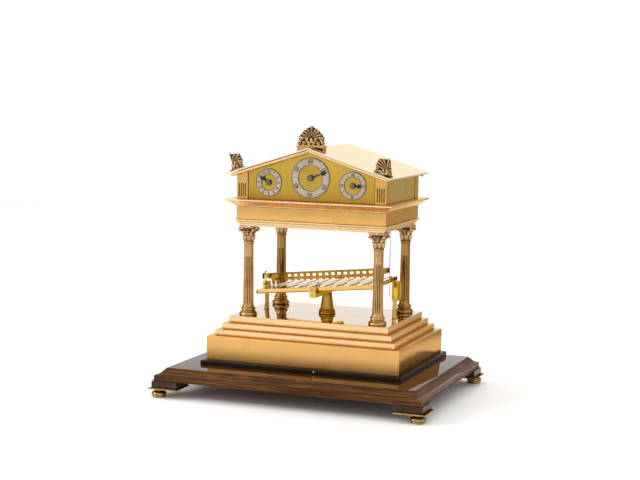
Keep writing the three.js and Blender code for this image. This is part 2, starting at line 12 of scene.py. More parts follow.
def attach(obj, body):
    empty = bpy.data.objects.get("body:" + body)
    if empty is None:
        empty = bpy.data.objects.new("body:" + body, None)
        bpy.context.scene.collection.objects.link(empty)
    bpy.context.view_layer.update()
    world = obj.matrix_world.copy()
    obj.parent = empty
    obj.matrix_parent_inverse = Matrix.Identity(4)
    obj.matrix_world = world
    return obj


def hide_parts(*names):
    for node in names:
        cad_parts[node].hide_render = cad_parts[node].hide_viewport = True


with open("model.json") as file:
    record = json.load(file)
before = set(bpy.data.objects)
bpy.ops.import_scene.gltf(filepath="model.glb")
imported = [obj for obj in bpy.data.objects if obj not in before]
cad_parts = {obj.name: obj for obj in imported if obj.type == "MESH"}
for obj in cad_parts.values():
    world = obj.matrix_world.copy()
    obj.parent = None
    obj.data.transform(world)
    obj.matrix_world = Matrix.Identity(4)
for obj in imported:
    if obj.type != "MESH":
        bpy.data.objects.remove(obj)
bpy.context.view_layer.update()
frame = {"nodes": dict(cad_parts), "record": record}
NODES = frame["nodes"]
pi, cos, sin = math.pi, math.cos, math.sin


# ------------------------------------------------------------------ frame of the case
# The pieces are dimensioned in millimetres from the middle of the platform's top.
def V(x, y, z):
    return (x / 1000.0, (y + 18.5) / 1000.0, (z + 111.0) / 1000.0)


# The rocking table's own frame, tilted about its pivot.
PIVOT_Z, TILT = 42.7, 5.8 * pi / 180


def T(x, y, z):
    return V(x * cos(TILT) - z * sin(TILT), y, PIVOT_Z + x * sin(TILT) + z * cos(TILT))


def lerp(a, b, t):
    return a + (b - a) * t


def smooth01(t):
    t = max(0.0, min(1.0, t))
    return t * t * (3 - 2 * t)


# ------------------------------------------------------------------ mesh building
class M:
    def __init__(self):
        self.v, self.f, self.c = [], [], []

    def add(self, vf, fn=None, cav=0.0):
        o = len(self.v)
        v, f = vf[0], vf[1]
        c = vf[2] if len(vf) > 2 else [cav] * len(v)
        self.v += [fn(*p) if fn else tuple(p) for p in v]
        self.f += [[i + o for i in q] for q in f]
        self.c += list(c)
        return self


def finish_mesh(me, cav, mat, angle, sharp=True):
    bm = bmesh.new()
    bm.from_mesh(me)
    bmesh.ops.recalc_face_normals(bm, faces=bm.faces)
    bm.to_mesh(me)
    bm.free()
    # per-vertex amount of painted shade, which the materials turn into darker colour in hollows and gaps
    a = me.attributes.new("cav", "FLOAT", "POINT")
    a.data.foreach_set("value", [float(x) for x in cav])
    me.materials.append(mat)
    me.polygons.foreach_set("use_smooth", [True] * len(me.polygons))
    if sharp:
        me.set_sharp_from_angle(angle=math.radians(angle))
    me.update()


def place(ob, body, nodes, bevel, seg):
    bpy.context.scene.collection.objects.link(ob)
    if bevel:
        b = ob.modifiers.new("edge", "BEVEL")
        b.width = bevel / 1000.0
        b.segments = seg
        b.limit_method = "ANGLE"
        b.angle_limit = math.radians(38)
        b.harden_normals = True
    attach(ob, body)
    if nodes:
        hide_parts(*nodes)
    return ob


def make(m, name, mat, body="frame", nodes=(), bevel=0, seg=2, angle=35, xf=V):
    me = bpy.data.meshes.new(name)
    me.from_pydata([xf(*p) for p in m.v], [], m.f)
    finish_mesh(me, m.c, mat, angle, sharp=not bevel)
    return place(bpy.data.objects.new(name, me), body, nodes, bevel, seg)


def lathe(profile, n=64, cx=0.0, cy=0.0, radial=None):
    """Turned shape about Z from [radius, z] pairs. radial(angle, z) adds to the radius."""
    v, f, rows = [], [], []
    for r, z in profile:
        if r < 1e-6:
            rows.append([len(v)])
            v.append((cx, cy, z))
        else:
            row = []
            for i in range(n):
                a = 2 * pi * i / n
                rr = r + (radial(a, z) if radial else 0.0)
                row.append(len(v))
                v.append((cx + rr * cos(a), cy + rr * sin(a), z))
            rows.append(row)
    for a, b in zip(rows, rows[1:]):
        if len(a) == 1 and len(b) == 1:
            continue
        for i in range(n):
            j = (i + 1) % n
            if len(a) == 1:
                f.append([a[0], b[j], b[i]])
            elif len(b) == 1:
                f.append([a[i], a[j], b[0]])
            else:
                f.append([a[i], a[j], b[j], b[i]])
    return v, f


def lathe_ring(profile, n=96):
    """Turned ring about Z from a closed loop of [radius, z] pairs."""
    v, f = [], []
    k = len(profile)
    for i in range(n):
        a = 2 * pi * i / n
        v += [(r * cos(a), r * sin(a), z) for r, z in profile]
    for i in range(n):
        for j in range(k):
            p, q = i * k, ((i + 1) % n) * k
            f.append([p + j, q + j, q + (j + 1) % k, p + (j + 1) % k])
    return v, f


def about_y(x, z):
    """Turns a shape made about Z into one about an axis along Y through (x, z)."""
    return lambda a, b, c: (x + a, c, z + b)


def rect(levels, cx=0.0, cy=0.0, painted_shades=None):
    v, f, c = [], [], []
    for k, (w, d, z) in enumerate(levels):
        v += [(cx - w, cy - d, z), (cx + w, cy - d, z), (cx + w, cy + d, z), (cx - w, cy + d, z)]
        c += [painted_shades[k] if painted_shades else 0.0] * 4
    for k in range(len(levels) - 1):
        for i in range(4):
            a, b = 4 * k + i, 4 * k + (i + 1) % 4
            f.append([a, b, b + 4, a + 4])
    t = 4 * (len(levels) - 1)
    f += [[3, 2, 1, 0], [t, t + 1, t + 2, t + 3]]
    return v, f, c


def ringrect(levels, inner):
    """A mitred rectangular moulding: outer levels and a plain inner wall (half width, half depth)."""
    v, f = [], []
    iw, idp = inner
    prof = [(w, d, z) for w, d, z in levels] + [(iw, idp, levels[-1][2]), (iw, idp, levels[0][2])]
    k = len(prof)
    for w, d, z in prof:
        v += [(-w, -d, z), (w, -d, z), (w, d, z), (-w, d, z)]
    for j in range(k):
        jn = (j + 1) % k
        for i in range(4):
            f.append([4 * j + i, 4 * j + (i + 1) % 4, 4 * jn + (i + 1) % 4, 4 * jn + i])
    return v, f


def block(x0, y0, z0, x1, y1, z1):
    v = [(x, y, z) for z in (z0, z1) for y in (y0, y1) for x in (x0, x1)]
    return v, [[0, 2, 3, 1], [4, 5, 7, 6], [0, 1, 5, 4], [2, 6, 7, 3], [0, 4, 6, 2], [1, 3, 7, 5]]


def plate(outer, y0, y1, holes=()):
    loops = [list(outer)] + [list(h) for h in holes]
    pts = [p for l in loops for p in l]
    tris = tessellate_polygon([[Vector((x, z, 0)) for x, z in l] for l in loops])
    n = len(pts)
    v = [(x, y0, z) for x, z in pts] + [(x, y1, z) for x, z in pts]
    f = [list(t) for t in tris] + [[i + n for i in reversed(t)] for t in tris]
    o = 0
    for l in loops:
        m = len(l)
        for i in range(m):
            a, b = o + i, o + (i + 1) % m
            f.append([a, b, b + n, a + n])
        o += m
    return v, f


def circle(x, z, r, n):
    return [(x + r * cos(2 * pi * i / n), z + r * sin(2 * pi * i / n)) for i in range(n)]


def roundrect(x0, z0, x1, z1, r, n=4):
    out = []
    for cx, cz, a0 in ((x1 - r, z0 + r, -pi / 2), (x1 - r, z1 - r, 0), (x0 + r, z1 - r, pi / 2), (x0 + r, z0 + r, pi)):
        for i in range(n + 1):
            a = a0 + pi / 2 * i / n
            out.append((cx + r * cos(a), cz + r * sin(a)))
    return out


def spline(pts, sub=4):
    """Catmull-Rom through the points."""
    out = []
    for i in range(len(pts) - 1):
        p0, p1, p2, p3 = pts[max(i - 1, 0)], pts[i], pts[i + 1], pts[min(i + 2, len(pts) - 1)]
        for s in range(sub):
            t = s / sub
            out.append(tuple(0.5 * (2 * b + (c - a) * t + (2 * a - 5 * b + 4 * c - d) * t * t + (3 * b - a - 3 * c + d) * t ** 3)
                             for a, b, c, d in zip(p0, p1, p2, p3)))
    out.append(tuple(pts[-1]))
    return out


def tube(path, radii, n=10, flat=1.0, up=(0, 1, 0)):
    """A closed tube along a path of points. flat scales it along the up direction."""
    v, f = [], []
    P = [Vector(p) for p in path]
    U = Vector(up).normalized()
    k = len(P)
    for i, p in enumerate(P):
        t = (P[min(i + 1, k - 1)] - P[max(i - 1, 0)]).normalized()
        s = t.cross(U).normalized()
        r = radii[i]
        for j in range(n):
            a = 2 * pi * j / n
            q = p + s * r * cos(a) + U * r * flat * sin(a)
            v.append(tuple(q))
    for i in range(k - 1):
        for j in range(n):
            a, b = i * n + j, i * n + (j + 1) % n
            f.append([a, b, b + n, a + n])
    v += [tuple(P[0]), tuple(P[-1])]
    for j in range(n):
        f.append([len(v) - 2, (j + 1) % n, j])
        f.append([len(v) - 1, (k - 1) * n + j, (k - 1) * n + (j + 1) % n])
    return v, f


def boolean(ob, cutter_mesh):
    """Cuts a closed mesh out of the object's own mesh."""
    me = bpy.data.meshes.new("cutter")
    me.from_pydata([V(*p) for p in cutter_mesh.v], [], cutter_mesh.f)
    bm = bmesh.new()
    bm.from_mesh(me)
    bmesh.ops.recalc_face_normals(bm, faces=bm.faces)
    bm.to_mesh(me)
    bm.free()
    c = bpy.data.objects.new("cutter", me)
    bpy.context.scene.collection.objects.link(c)
    bev = ob.modifiers.get("edge")
    par = (bev.width, bev.segments) if bev else None
    ob.modifiers.clear()
    b = ob.modifiers.new("cut", "BOOLEAN")
    b.operation, b.object, b.solver = "DIFFERENCE", c, "EXACT"
    dg = bpy.context.evaluated_depsgraph_get()
    dg.update()
    new = bpy.data.meshes.new_from_object(ob.evaluated_get(dg))
    ob.modifiers.clear()
    old = ob.data
    ob.data = new
    bpy.data.objects.remove(c)
    if par:
        e = ob.modifiers.new("edge", "BEVEL")
        e.width, e.segments = par
        e.limit_method, e.angle_limit, e.harden_normals = "ANGLE", math.radians(38), True
    return ob


def bevelled(node, name, mat, width=0.3, seg=2, cav=None):
    """A copy of a CAD node's shape with its edges broken, standing for the node."""
    me = NODES[node].data.copy()
    me.name = name
    bm = bmesh.new()
    bm.from_mesh(me)
    bmesh.ops.remove_doubles(bm, verts=bm.verts, dist=1e-6)
    bmesh.ops.dissolve_limit(bm, angle_limit=math.radians(1.0), verts=bm.verts, edges=bm.edges)
    bm.to_mesh(me)
    bm.free()
    me.materials.clear()
    for at in [a.name for a in me.attributes if a.name in ("sharp_edge", "sharp_face", "custom_normal")]:
        me.attributes.remove(me.attributes[at])
    # painted shade: an optional function gives each vertex an amount of painted shade
    shade_amt = [cav(v.co.x * 1000, v.co.y * 1000 - 18.5, v.co.z * 1000 - 111) if cav else 0.0 for v in me.vertices]
    finish_mesh(me, shade_amt, mat, 35, sharp=not width)
    return place(bpy.data.objects.new(name, me), BODY[node], (node,), width, seg)


BODY = {}
for body, members in frame["record"]["behaviour"]["bodies"].items():
    for n in members:
        BODY[n] = body


# ------------------------------------------------------------------ materials
def nt(mat):
    mat.use_nodes = True
    t = mat.node_tree
    t.nodes.clear()
    out = t.nodes.new("ShaderNodeOutputMaterial")
    bs = t.nodes.new("ShaderNodeBsdfPrincipled")
    t.links.new(bs.outputs["BSDF"], out.inputs["Surface"])
    return t, bs


def node(t, kind, **kw):
    n = t.nodes.new(kind)
    for k, v in kw.items():
        if k.startswith("i_"):
            n.inputs[k[2:].replace("_", " ")].default_value = v
        else:
            setattr(n, k, v)
    return n


def mapped(t, scale):
    tc = t.nodes.new("ShaderNodeTexCoord")
    mp = t.nodes.new("ShaderNodeMapping")
    mp.inputs["Scale"].default_value = scale
    t.links.new(tc.outputs["Object"], mp.inputs["Vector"])
    return mp.outputs["Vector"]


def noise(t, vec, scale, detail=3.0, rough=0.5, dist=0.0):
    n = t.nodes.new("ShaderNodeTexNoise")
    n.inputs["Scale"].default_value = scale
    n.inputs["Detail"].default_value = detail
    n.inputs["Roughness"].default_value = rough
    n.inputs["Distortion"].default_value = dist
    t.links.new(vec, n.inputs["Vector"])
    return n.outputs["Fac"]


def ramp(t, fac, stops):
    r = t.nodes.new("ShaderNodeValToRGB")
    while len(r.color_ramp.elements) < len(stops):
        r.color_ramp.elements.new(0.5)
    for e, (p, c) in zip(r.color_ramp.elements, stops):
        e.position = p
        e.color = (*c, 1.0) if len(c) == 3 else c
    t.links.new(fac, r.inputs["Fac"])
    return r.outputs["Color"]


def maprange(t, fac, a, b, c, d):
    m = t.nodes.new("ShaderNodeMapRange")
    m.inputs["From Min"].default_value, m.inputs["From Max"].default_value = a, b
    m.inputs["To Min"].default_value, m.inputs["To Max"].default_value = c, d
    t.links.new(fac, m.inputs["Value"])
    return m.outputs["Result"]


def mixc(t, fac, a, b, mode="MIX"):
    m = t.nodes.new("ShaderNodeMix")
    m.data_type, m.blend_type = "RGBA", mode
    if isinstance(fac, float):
        m.inputs[0].default_value = fac
    else:
        t.links.new(fac, m.inputs[0])
    for k, s in ((6, a), (7, b)):
        if isinstance(s, tuple):
            m.inputs[k].default_value = (*s, 1.0)
        else:
            t.links.new(s, m.inputs[k])
    return m.outputs[2]


def bump(t, bs, height, strength, dist):
    b = t.nodes.new("ShaderNodeBump")
    b.inputs["Strength"].default_value = strength
    b.inputs["Distance"].default_value = dist
    t.links.new(height, b.inputs["Height"])
    t.links.new(b.outputs["Normal"], bs.inputs["Normal"])


def scale_c(c, k):
    return tuple(min(1.0, x * k) for x in c)


def metal(name, col, rough, dark=None, var=0.10, brush=(1, 1, 1), bumpk=0.15, painted_shade_col=(0.06, 0.035, 0.015), painted_shade_k=0.9, patch=38.0, rvar=0.06, metallic=1.0, tint=(0.95, 0.80, 0.58)):
    mat = bpy.data.materials.new(name)
    t, bs = nt(mat)
    vec = mapped(t, (1, 1, 1))
    cloud = noise(t, vec, patch, 4.0, 0.55)
    lo = dark if dark else scale_c(col, 1 - var * 1.6)
    base = ramp(t, cloud, [(0.28, lo), (0.52, col), (0.8, scale_c(col, 1 + var * 0.5))])
    # painted shade: a per-vertex attribute mixes the colour towards a dark shade colour in hollows, grooves, slots and
    # gaps; it also raises the roughness there
    shade_amt = t.nodes.new("ShaderNodeAttribute")
    shade_amt.attribute_name = "cav"
    cf = maprange(t, shade_amt.outputs["Fac"], 0.0, 1.0, 0.0, painted_shade_k)
    base = mixc(t, cf, base, painted_shade_col)
    t.links.new(base, bs.inputs["Base Color"])
    bs.inputs["Metallic"].default_value = metallic
    bs.inputs["Specular Tint"].default_value = (*tint, 1)
    fine = noise(t, mapped(t, brush), 900.0, 2.0, 0.6)
    mixr = t.nodes.new("ShaderNodeMath")
    mixr.operation = "MULTIPLY_ADD"
    t.links.new(cloud, mixr.inputs[0])
    mixr.inputs[1].default_value = rvar * 2
    mixr.inputs[2].default_value = rough - rvar
    r2 = t.nodes.new("ShaderNodeMath")
    r2.operation = "MULTIPLY_ADD"
    t.links.new(shade_amt.outputs["Fac"], r2.inputs[0])
    r2.inputs[1].default_value = 0.3
    t.links.new(mixr.outputs[0], r2.inputs[2])
    t.links.new(r2.outputs[0], bs.inputs["Roughness"])
    if bumpk:
        bump(t, bs, fine, bumpk, 0.00002)
    return mat


SATIN = metal("satin_brass_lacquered", (0.70, 0.405, 0.125), 0.30, var=0.05, brush=(0.25, 0.25, 2.5), bumpk=0.10)
MOULD = metal("moulding_brass", (0.90, 0.64, 0.35), 0.24, var=0.05, bumpk=0.06, painted_shade_col=(0.40, 0.20, 0.06))
BASEF = metal("satin_brass_base_front", (0.80, 0.46, 0.155), 0.40, var=0.05, brush=(0.12, 0.2, 2.5), bumpk=0.10, painted_shade_col=(0.40, 0.20, 0.05))
# darker copy of the base brass for the sides of the base block: painted shade; the front copy above is lighter
BASE_SIDE_SHADED = metal("satin_brass_base", (0.62, 0.37, 0.14), 0.20, var=0.05, brush=(0.2, 0.2, 2.5), bumpk=0.06, painted_shade_col=(0.40, 0.20, 0.05), tint=(0.85, 0.68, 0.48))
STEP = metal("satin_brass_steps", (0.84, 0.575, 0.30), 0.26, var=0.05, brush=(0.12, 0.2, 2.5), bumpk=0.08, painted_shade_col=(0.55, 0.28, 0.07), tint=(0.95, 0.76, 0.50))
POLISHED = metal("polished_brass", (0.76, 0.50, 0.12), 0.14, var=0.10, bumpk=0.05, tint=(0.90, 0.66, 0.28))
YELLOWB = metal("yellow_brass", (0.66, 0.46, 0.085), 0.17, dark=(0.44, 0.28, 0.04), var=0.10, bumpk=0.06, tint=(0.90, 0.68, 0.25), patch=80.0)
FOOTB = metal("foot_brass", (0.40, 0.285, 0.085), 0.20, dark=(0.24, 0.16, 0.045), var=0.15, bumpk=0.1, patch=150.0, tint=(0.50, 0.36, 0.18))
# polished platform top; its near-white colour, paler than the risers' brass, is painted reflection
PLATFORM_TOP_SHEEN = metal("polished_platform_painted_sheen", (0.80, 0.68, 0.58), 0.045, var=0.03, bumpk=0.02, rvar=0.012, tint=(1.0, 0.97, 0.93))
COLUMN = metal("column_brass", (0.58, 0.345, 0.135), 0.15, dark=(0.36, 0.20, 0.065), var=0.10, brush=(1, 1, 0.3), bumpk=0.1, painted_shade_col=(0.035, 0.017, 0.006), painted_shade_k=0.97, patch=60.0, tint=(0.50, 0.36, 0.18))
# a darker copy of the column brass for the back columns: painted shade
COLUMN_BACK_SHADED = metal("column_brass_back_painted_shade", (0.40, 0.22, 0.065), 0.15, dark=(0.26, 0.13, 0.035), var=0.10, brush=(1, 1, 0.3), bumpk=0.1, painted_shade_col=(0.030, 0.014, 0.005), painted_shade_k=0.97, patch=60.0, tint=(0.50, 0.36, 0.18))
PATINA = metal("antique_brass", (0.76, 0.51, 0.27), 0.22, dark=(0.56, 0.34, 0.15), var=0.15, bumpk=0.2, painted_shade_col=(0.022, 0.011, 0.005), painted_shade_k=0.98, patch=260.0, tint=(0.50, 0.36, 0.18))
CARVED = metal("antique_brass_carved", (0.62, 0.40, 0.185), 0.24, dark=(0.44, 0.27, 0.11), var=0.15, bumpk=0.2, painted_shade_col=(0.020, 0.011, 0.006), painted_shade_k=0.98, patch=260.0, tint=(0.50, 0.36, 0.18))
# roof plates in near-white brass: the paleness is painted reflection of the bright overhead
ROOF_SHEEN = metal("roof_brass", (0.99, 0.86, 0.64), 0.17, var=0.025, bumpk=0.04, tint=(1.0, 0.95, 0.82))
DIALC = metal("gilt_centre", (0.52, 0.335, 0.062), 0.32, var=0.10, bumpk=0.3, patch=90.0)
STEEL = metal("bright_steel", (0.58, 0.57, 0.55), 0.14, var=0.10, bumpk=0.08, tint=(1, 1, 1))
SILVER = metal("nickel_screw", (0.50, 0.46, 0.38), 0.20, var=0.08, bumpk=0.1, tint=(1, 1, 1))
BLUED = metal("blued_steel", (0.026, 0.052, 0.080), 0.27, dark=(0.014, 0.028, 0.045), var=0.2, bumpk=0.1, tint=(0.5, 0.7, 1.0))
COLLET = metal("hand_collet", (0.20, 0.15, 0.075), 0.22, dark=(0.16, 0.11, 0.05), var=0.15, bumpk=0.1, tint=(0.50, 0.36, 0.18))
# polished table top; its pale colour, much paler than the table's sides, is painted sheen
TABLE_TOP_SHEEN = metal("table_top_polished_painted_sheen", (0.90, 0.76, 0.60), 0.08, var=0.03, bumpk=0.03, painted_shade_col=(0.22, 0.085, 0.015), painted_shade_k=0.97, tint=(1.0, 0.94, 0.84))
SCALL = metal("bridge_brass_warm", (0.50, 0.225, 0.028), 0.18, dark=(0.30, 0.11, 0.010), var=0.15, bumpk=0.12, patch=120.0, painted_shade_col=(0.16, 0.05, 0.006), tint=(0.85, 0.55, 0.20))
TABLEB = metal("table_brass", (0.82, 0.48, 0.115), 0.12, var=0.05, bumpk=0.05, painted_shade_col=(0.16, 0.07, 0.015), painted_shade_k=0.92, tint=(0.98, 0.80, 0.55))
OLIVE = metal("bridge_brass", (0.38, 0.235, 0.028), 0.19, dark=(0.18, 0.10, 0.012), var=0.15, bumpk=0.15, patch=120.0, painted_shade_col=(0.20, 0.070, 0.006), painted_shade_k=0.95, tint=(0.85, 0.62, 0.22))
PILLAR = metal("pillar_brass", (0.50, 0.27, 0.038), 0.14, dark=(0.36, 0.19, 0.028), var=0.12, bumpk=0.1, patch=60.0, tint=(0.50, 0.36, 0.18))
MOVE = metal("movement_brass", (0.80, 0.55, 0.22), 0.25, var=0.08, bumpk=0.15)
SIDEB = metal("side_panel_gilt", (0.64, 0.48, 0.16), 0.28, var=0.06, brush=(0.4, 0.4, 2.0), bumpk=0.15, tint=(0.95, 0.84, 0.62))


def paint(name, col, rough, coat=0.0, var=0.25, grain=300.0, spec=0.5):
    mat = bpy.data.materials.new(name)
    t, bs = nt(mat)
    vec = mapped(t, (1, 1, 1))
    n1 = noise(t, vec, grain, 3.0)
    t.links.new(ramp(t, n1, [(0.3, scale_c(col, 1 - var)), (0.7, scale_c(col, 1 + var))]), bs.inputs["Base Color"])
    t.links.new(maprange(t, noise(t, vec, 45.0, 3.0), 0.3, 0.7, rough - 0.05, rough + 0.05), bs.inputs["Roughness"])
    bs.inputs["Coat Weight"].default_value = coat
    bs.inputs["Coat Roughness"].default_value = 0.08
    bs.inputs["Specular IOR Level"].default_value = spec
    bump(t, bs, noise(t, vec, 1500.0, 2.0), 0.06, 0.00002)
    return mat


BLACK = paint("black_lacquer", (0.010, 0.006, 0.004), 0.26, coat=0.0, spec=0.09)
ENAMEL = paint("black_wax", (0.012, 0.011, 0.012), 0.5)
RINGLINE = paint("ring_outline", (0.05, 0.045, 0.04), 0.5)

# gilt dial plate: fine vertical graining, with painted shade making it darker towards its lower edge
DIALP = bpy.data.materials.new("gilt_plate_grained")
t, bs = nt(DIALP)
bs.inputs["Metallic"].default_value = 1.0
vec = mapped(t, (1, 1, 1))
tc = t.nodes.new("ShaderNodeTexCoord")
sx = t.nodes.new("ShaderNodeSeparateXYZ")
t.links.new(tc.outputs["Object"], sx.inputs[0])
lines = noise(t, mapped(t, (1, 1, 0.012)), 900.0, 2.0, 0.6)
cl = noise(t, vec, 30.0, 3.0)
# painted shade: darker towards the bottom of the plate
painted_shade_ramp = ramp(t, maprange(t, sx.outputs["Z"], 0.283, 0.345, 0.0, 1.0), [(0.0, (0.38, 0.22, 0.030)), (0.30, (0.54, 0.335, 0.045)), (1.0, (0.66, 0.43, 0.064))])
g2 = mixc(t, maprange(t, lines, 0.35, 0.65, 0.0, 0.35), painted_shade_ramp, (0.30, 0.18, 0.028))
g3 = mixc(t, maprange(t, cl, 0.35, 0.7, 0.0, 0.22), g2, (0.70, 0.46, 0.09))
t.links.new(g3, bs.inputs["Base Color"])
t.links.new(maprange(t, lines, 0.3, 0.7, 0.27, 0.38), bs.inputs["Roughness"])
bump(t, bs, lines, 0.25, 0.00003)

# silvered chapter rings: fine circular brushing comes from a soft grain
RING = bpy.data.materials.new("silvered_brass")
t, bs = nt(RING)
bs.inputs["Metallic"].default_value = 0.55
vec = mapped(t, (1, 1, 1))
cl = noise(t, vec, 140.0, 3.0)
t.links.new(ramp(t, cl, [(0.3, (0.43, 0.355, 0.29)), (0.7, (0.53, 0.45, 0.375))]), bs.inputs["Base Color"])
t.links.new(maprange(t, cl, 0.3, 0.7, 0.38, 0.48), bs.inputs["Roughness"])
bump(t, bs, noise(t, vec, 2200.0, 2.0), 0.08, 0.00002)

# brown veneer with its grain along each side of the board: glossy on top, quieter on the moulded edge
def wood(name, spec, coat, crough, rough, cols, band):
    mat = bpy.data.materials.new(name)
    t, bs = nt(mat)
    geo = t.nodes.new("ShaderNodeNewGeometry")
    sn = t.nodes.new("ShaderNodeSeparateXYZ")
    t.links.new(geo.outputs["Normal"], sn.inputs[0])
    ab = t.nodes.new("ShaderNodeMath")
    ab.operation = "ABSOLUTE"
    t.links.new(sn.outputs["X"], ab.inputs[0])
    side = maprange(t, ab.outputs[0], 0.45, 0.5, 0.0, 1.0)
    gx = noise(t, mapped(t, (0.045, 1.0, 1.6)), 420.0, 5.0, 0.62, 0.6)
    gy = noise(t, mapped(t, (1.0, 0.045, 1.6)), 420.0, 5.0, 0.62, 0.6)
    bx_ = noise(t, mapped(t, (0.22, 1.0, 1.0)), 26.0, 3.0, 0.5, 1.2)
    cc = mixc(t, side, ramp(t, gx, cols), ramp(t, gy, cols))
    cc = mixc(t, maprange(t, bx_, 0.38, 0.72, 0.0, band), cc, (0.030, 0.012, 0.005))
    t.links.new(cc, bs.inputs["Base Color"])
    bs.inputs["Specular IOR Level"].default_value = spec
    bs.inputs["Specular Tint"].default_value = (1.0, 0.80, 0.62, 1)
    bs.inputs["Coat Weight"].default_value = coat
    bs.inputs["Coat Roughness"].default_value = crough
    t.links.new(maprange(t, gx, 0.3, 0.7, rough - 0.05, rough + 0.05), bs.inputs["Roughness"])
    bump(t, bs, gx, 0.04, 0.00004)
    return mat


WOOD = wood("walnut_veneer_top", 0.0, 0.85, 0.02, 0.30,
            [(0.22, (0.014, 0.004, 0.0015)), (0.43, (0.045, 0.013, 0.003)), (0.58, (0.085, 0.026, 0.005)), (0.80, (0.19, 0.062, 0.010))], 0.5)
WOODE = wood("walnut_veneer_edge", 0.12, 0.03, 0.20, 0.33,
             [(0.30, (0.014, 0.0045, 0.002)), (0.42, (0.055, 0.020, 0.006)), (0.52, (0.115, 0.040, 0.010)), (0.62, (0.20, 0.078, 0.018)), (0.74, (0.34, 0.15, 0.045))], 0.45)
BLOCKW = paint("corner_block_stain", (0.040, 0.018, 0.010), 0.26, coat=0.06, var=0.55, grain=140.0, spec=0.20)

# ------------------------------------------------------------------ camera, floor and light
cam = bpy.data.cameras.new("camera")
cam.lens, cam.sensor_width, cam.sensor_fit = 80.99, 36.0, "HORIZONTAL"
cam.clip_start, cam.clip_end = 0.05, 50.0
co = bpy.data.objects.new("camera", cam)
bpy.context.scene.collection.objects.link(co)
R, U, B = (0.93305414, 0.3594013, 0.01551396), (-0.05363746, 0.09634719, 0.99390153), (0.35571477, -0.92819606, 0.10917452)
co.matrix_world = Matrix(((R[0], U[0], B[0], 0.743734), (R[1], U[1], B[1], -1.955826), (R[2], U[2], B[2], 0.451883), (0, 0, 0, 1)))
bpy.context.scene.camera = co
bpy.context.scene.view_settings.view_transform = "Standard"
bpy.context.scene.view_settings.look = "None"

fl = bpy.data.meshes.new("floor")
fl.from_pydata([(-2.2, -2.2, 0), (2.2, -2.2, 0), (2.2, 2.6, 0), (-2.2, 2.6, 0)], [], [[0, 1, 2, 3]])
FLOOR = bpy.data.materials.new("floor")
t, bs = nt(FLOOR)
bs.inputs["Base Color"].default_value = (0.93, 0.93, 0.93, 1)
bs.inputs["Roughness"].default_value = 0.9
bs.inputs["Specular IOR Level"].default_value = 0.15
fl.materials.append(FLOOR)
flo = bpy.data.objects.new("floor", fl)
bpy.context.scene.collection.objects.link(flo)

world = bpy.data.worlds.new("studio")
bpy.context.scene.world = world
world.use_nodes = True
t = world.node_tree
t.nodes.clear()
out = t.nodes.new("ShaderNodeOutputWorld")
lp = t.nodes.new("ShaderNodeLightPath")
mixs = t.nodes.new("ShaderNodeMixShader")
white = t.nodes.new("ShaderNodeBackground")
white.inputs["Color"].default_value = (1, 1, 1, 1)
white.inputs["Strength"].default_value = 1.05
env = t.nodes.new("ShaderNodeBackground")
tcw = t.nodes.new("ShaderNodeTexCoord")
sepw = t.nodes.new("ShaderNodeSeparateXYZ")
t.links.new(tcw.outputs["Generated"], sepw.inputs[0])
dotn = t.nodes.new("ShaderNodeVectorMath")
dotn.operation = "DOT_PRODUCT"
dotn.inputs[1].default_value = (0.80, 0.60, 0.0)
t.links.new(tcw.outputs["Generated"], dotn.inputs[0])


def srange(val, a, b, c, d):
    m = t.nodes.new("ShaderNodeMapRange")
    m.interpolation_type = "SMOOTHSTEP"
    m.inputs["From Min"].default_value, m.inputs["From Max"].default_value = a, b
    m.inputs["To Min"].default_value, m.inputs["To Max"].default_value = c, d
    t.links.new(val, m.inputs["Value"])
    return m.outputs["Result"]


def mth(op, a, b):
    m = t.nodes.new("ShaderNodeMath")
    m.operation = op
    for i, s in enumerate((a, b)):
        if isinstance(s, float):
            m.inputs[i].default_value = s
        else:
            t.links.new(s, m.inputs[i])
    return m.outputs[0]


darkside = mth("MULTIPLY", srange(dotn.outputs["Value"], 0.42, 0.85, 0.0, 1.0), srange(sepw.outputs["Z"], 0.05, 0.45, 1.0, 0.0))
level = srange(sepw.outputs["Z"], -0.1, 0.75, 0.92, 1.10)
level = mth("MULTIPLY", level, mth("SUBTRACT", 1.0, mth("MULTIPLY", darkside, 0.62)))
dotl = t.nodes.new("ShaderNodeVectorMath")
dotl.operation = "DOT_PRODUCT"
dotl.inputs[1].default_value = (-0.966, 0.259, 0.0)
t.links.new(tcw.outputs["Generated"], dotl.inputs[0])
darkleft = mth("MULTIPLY", srange(dotl.outputs["Value"], 0.74, 0.90, 0.0, 1.0), srange(sepw.outputs["Z"], 0.10, 0.45, 1.0, 0.0))
level = mth("MULTIPLY", level, mth("SUBTRACT", 1.0, mth("MULTIPLY", darkleft, 0.80)))
low = srange(sepw.outputs["Z"], -0.6, -0.05, 0.55, 1.0)
level = mth("MULTIPLY", level, low)
t.links.new(level, env.inputs["Strength"])
env.inputs["Color"].default_value = (1.0, 0.985, 0.965, 1)
t.links.new(lp.outputs["Is Camera Ray"], mixs.inputs[0])
t.links.new(env.outputs[0], mixs.inputs[1])
t.links.new(white.outputs[0], mixs.inputs[2])
t.links.new(mixs.outputs[0], out.inputs["Surface"])


def area(name, loc, target, size, power, col=(1, 1, 1)):
    l = bpy.data.lights.new(name, "AREA")
    l.shape, l.size, l.size_y, l.energy, l.color = "RECTANGLE", size[0], size[1], power, col
    o = bpy.data.objects.new(name, l)
    bpy.context.scene.collection.objects.link(o)
    o.location = loc
    o.rotation_euler = (Vector(target) - Vector(loc)).to_track_quat("-Z", "Y").to_euler()
    return o


area("key", (-2.2, -1.25, 1.55), (0, 0, 0.10), (0.8, 0.8), 22, (1.0, 0.98, 0.95))
area("top", (-0.55, 0.35, 1.75), (0, 0, 0.1), (1.0, 0.7), 5.5)


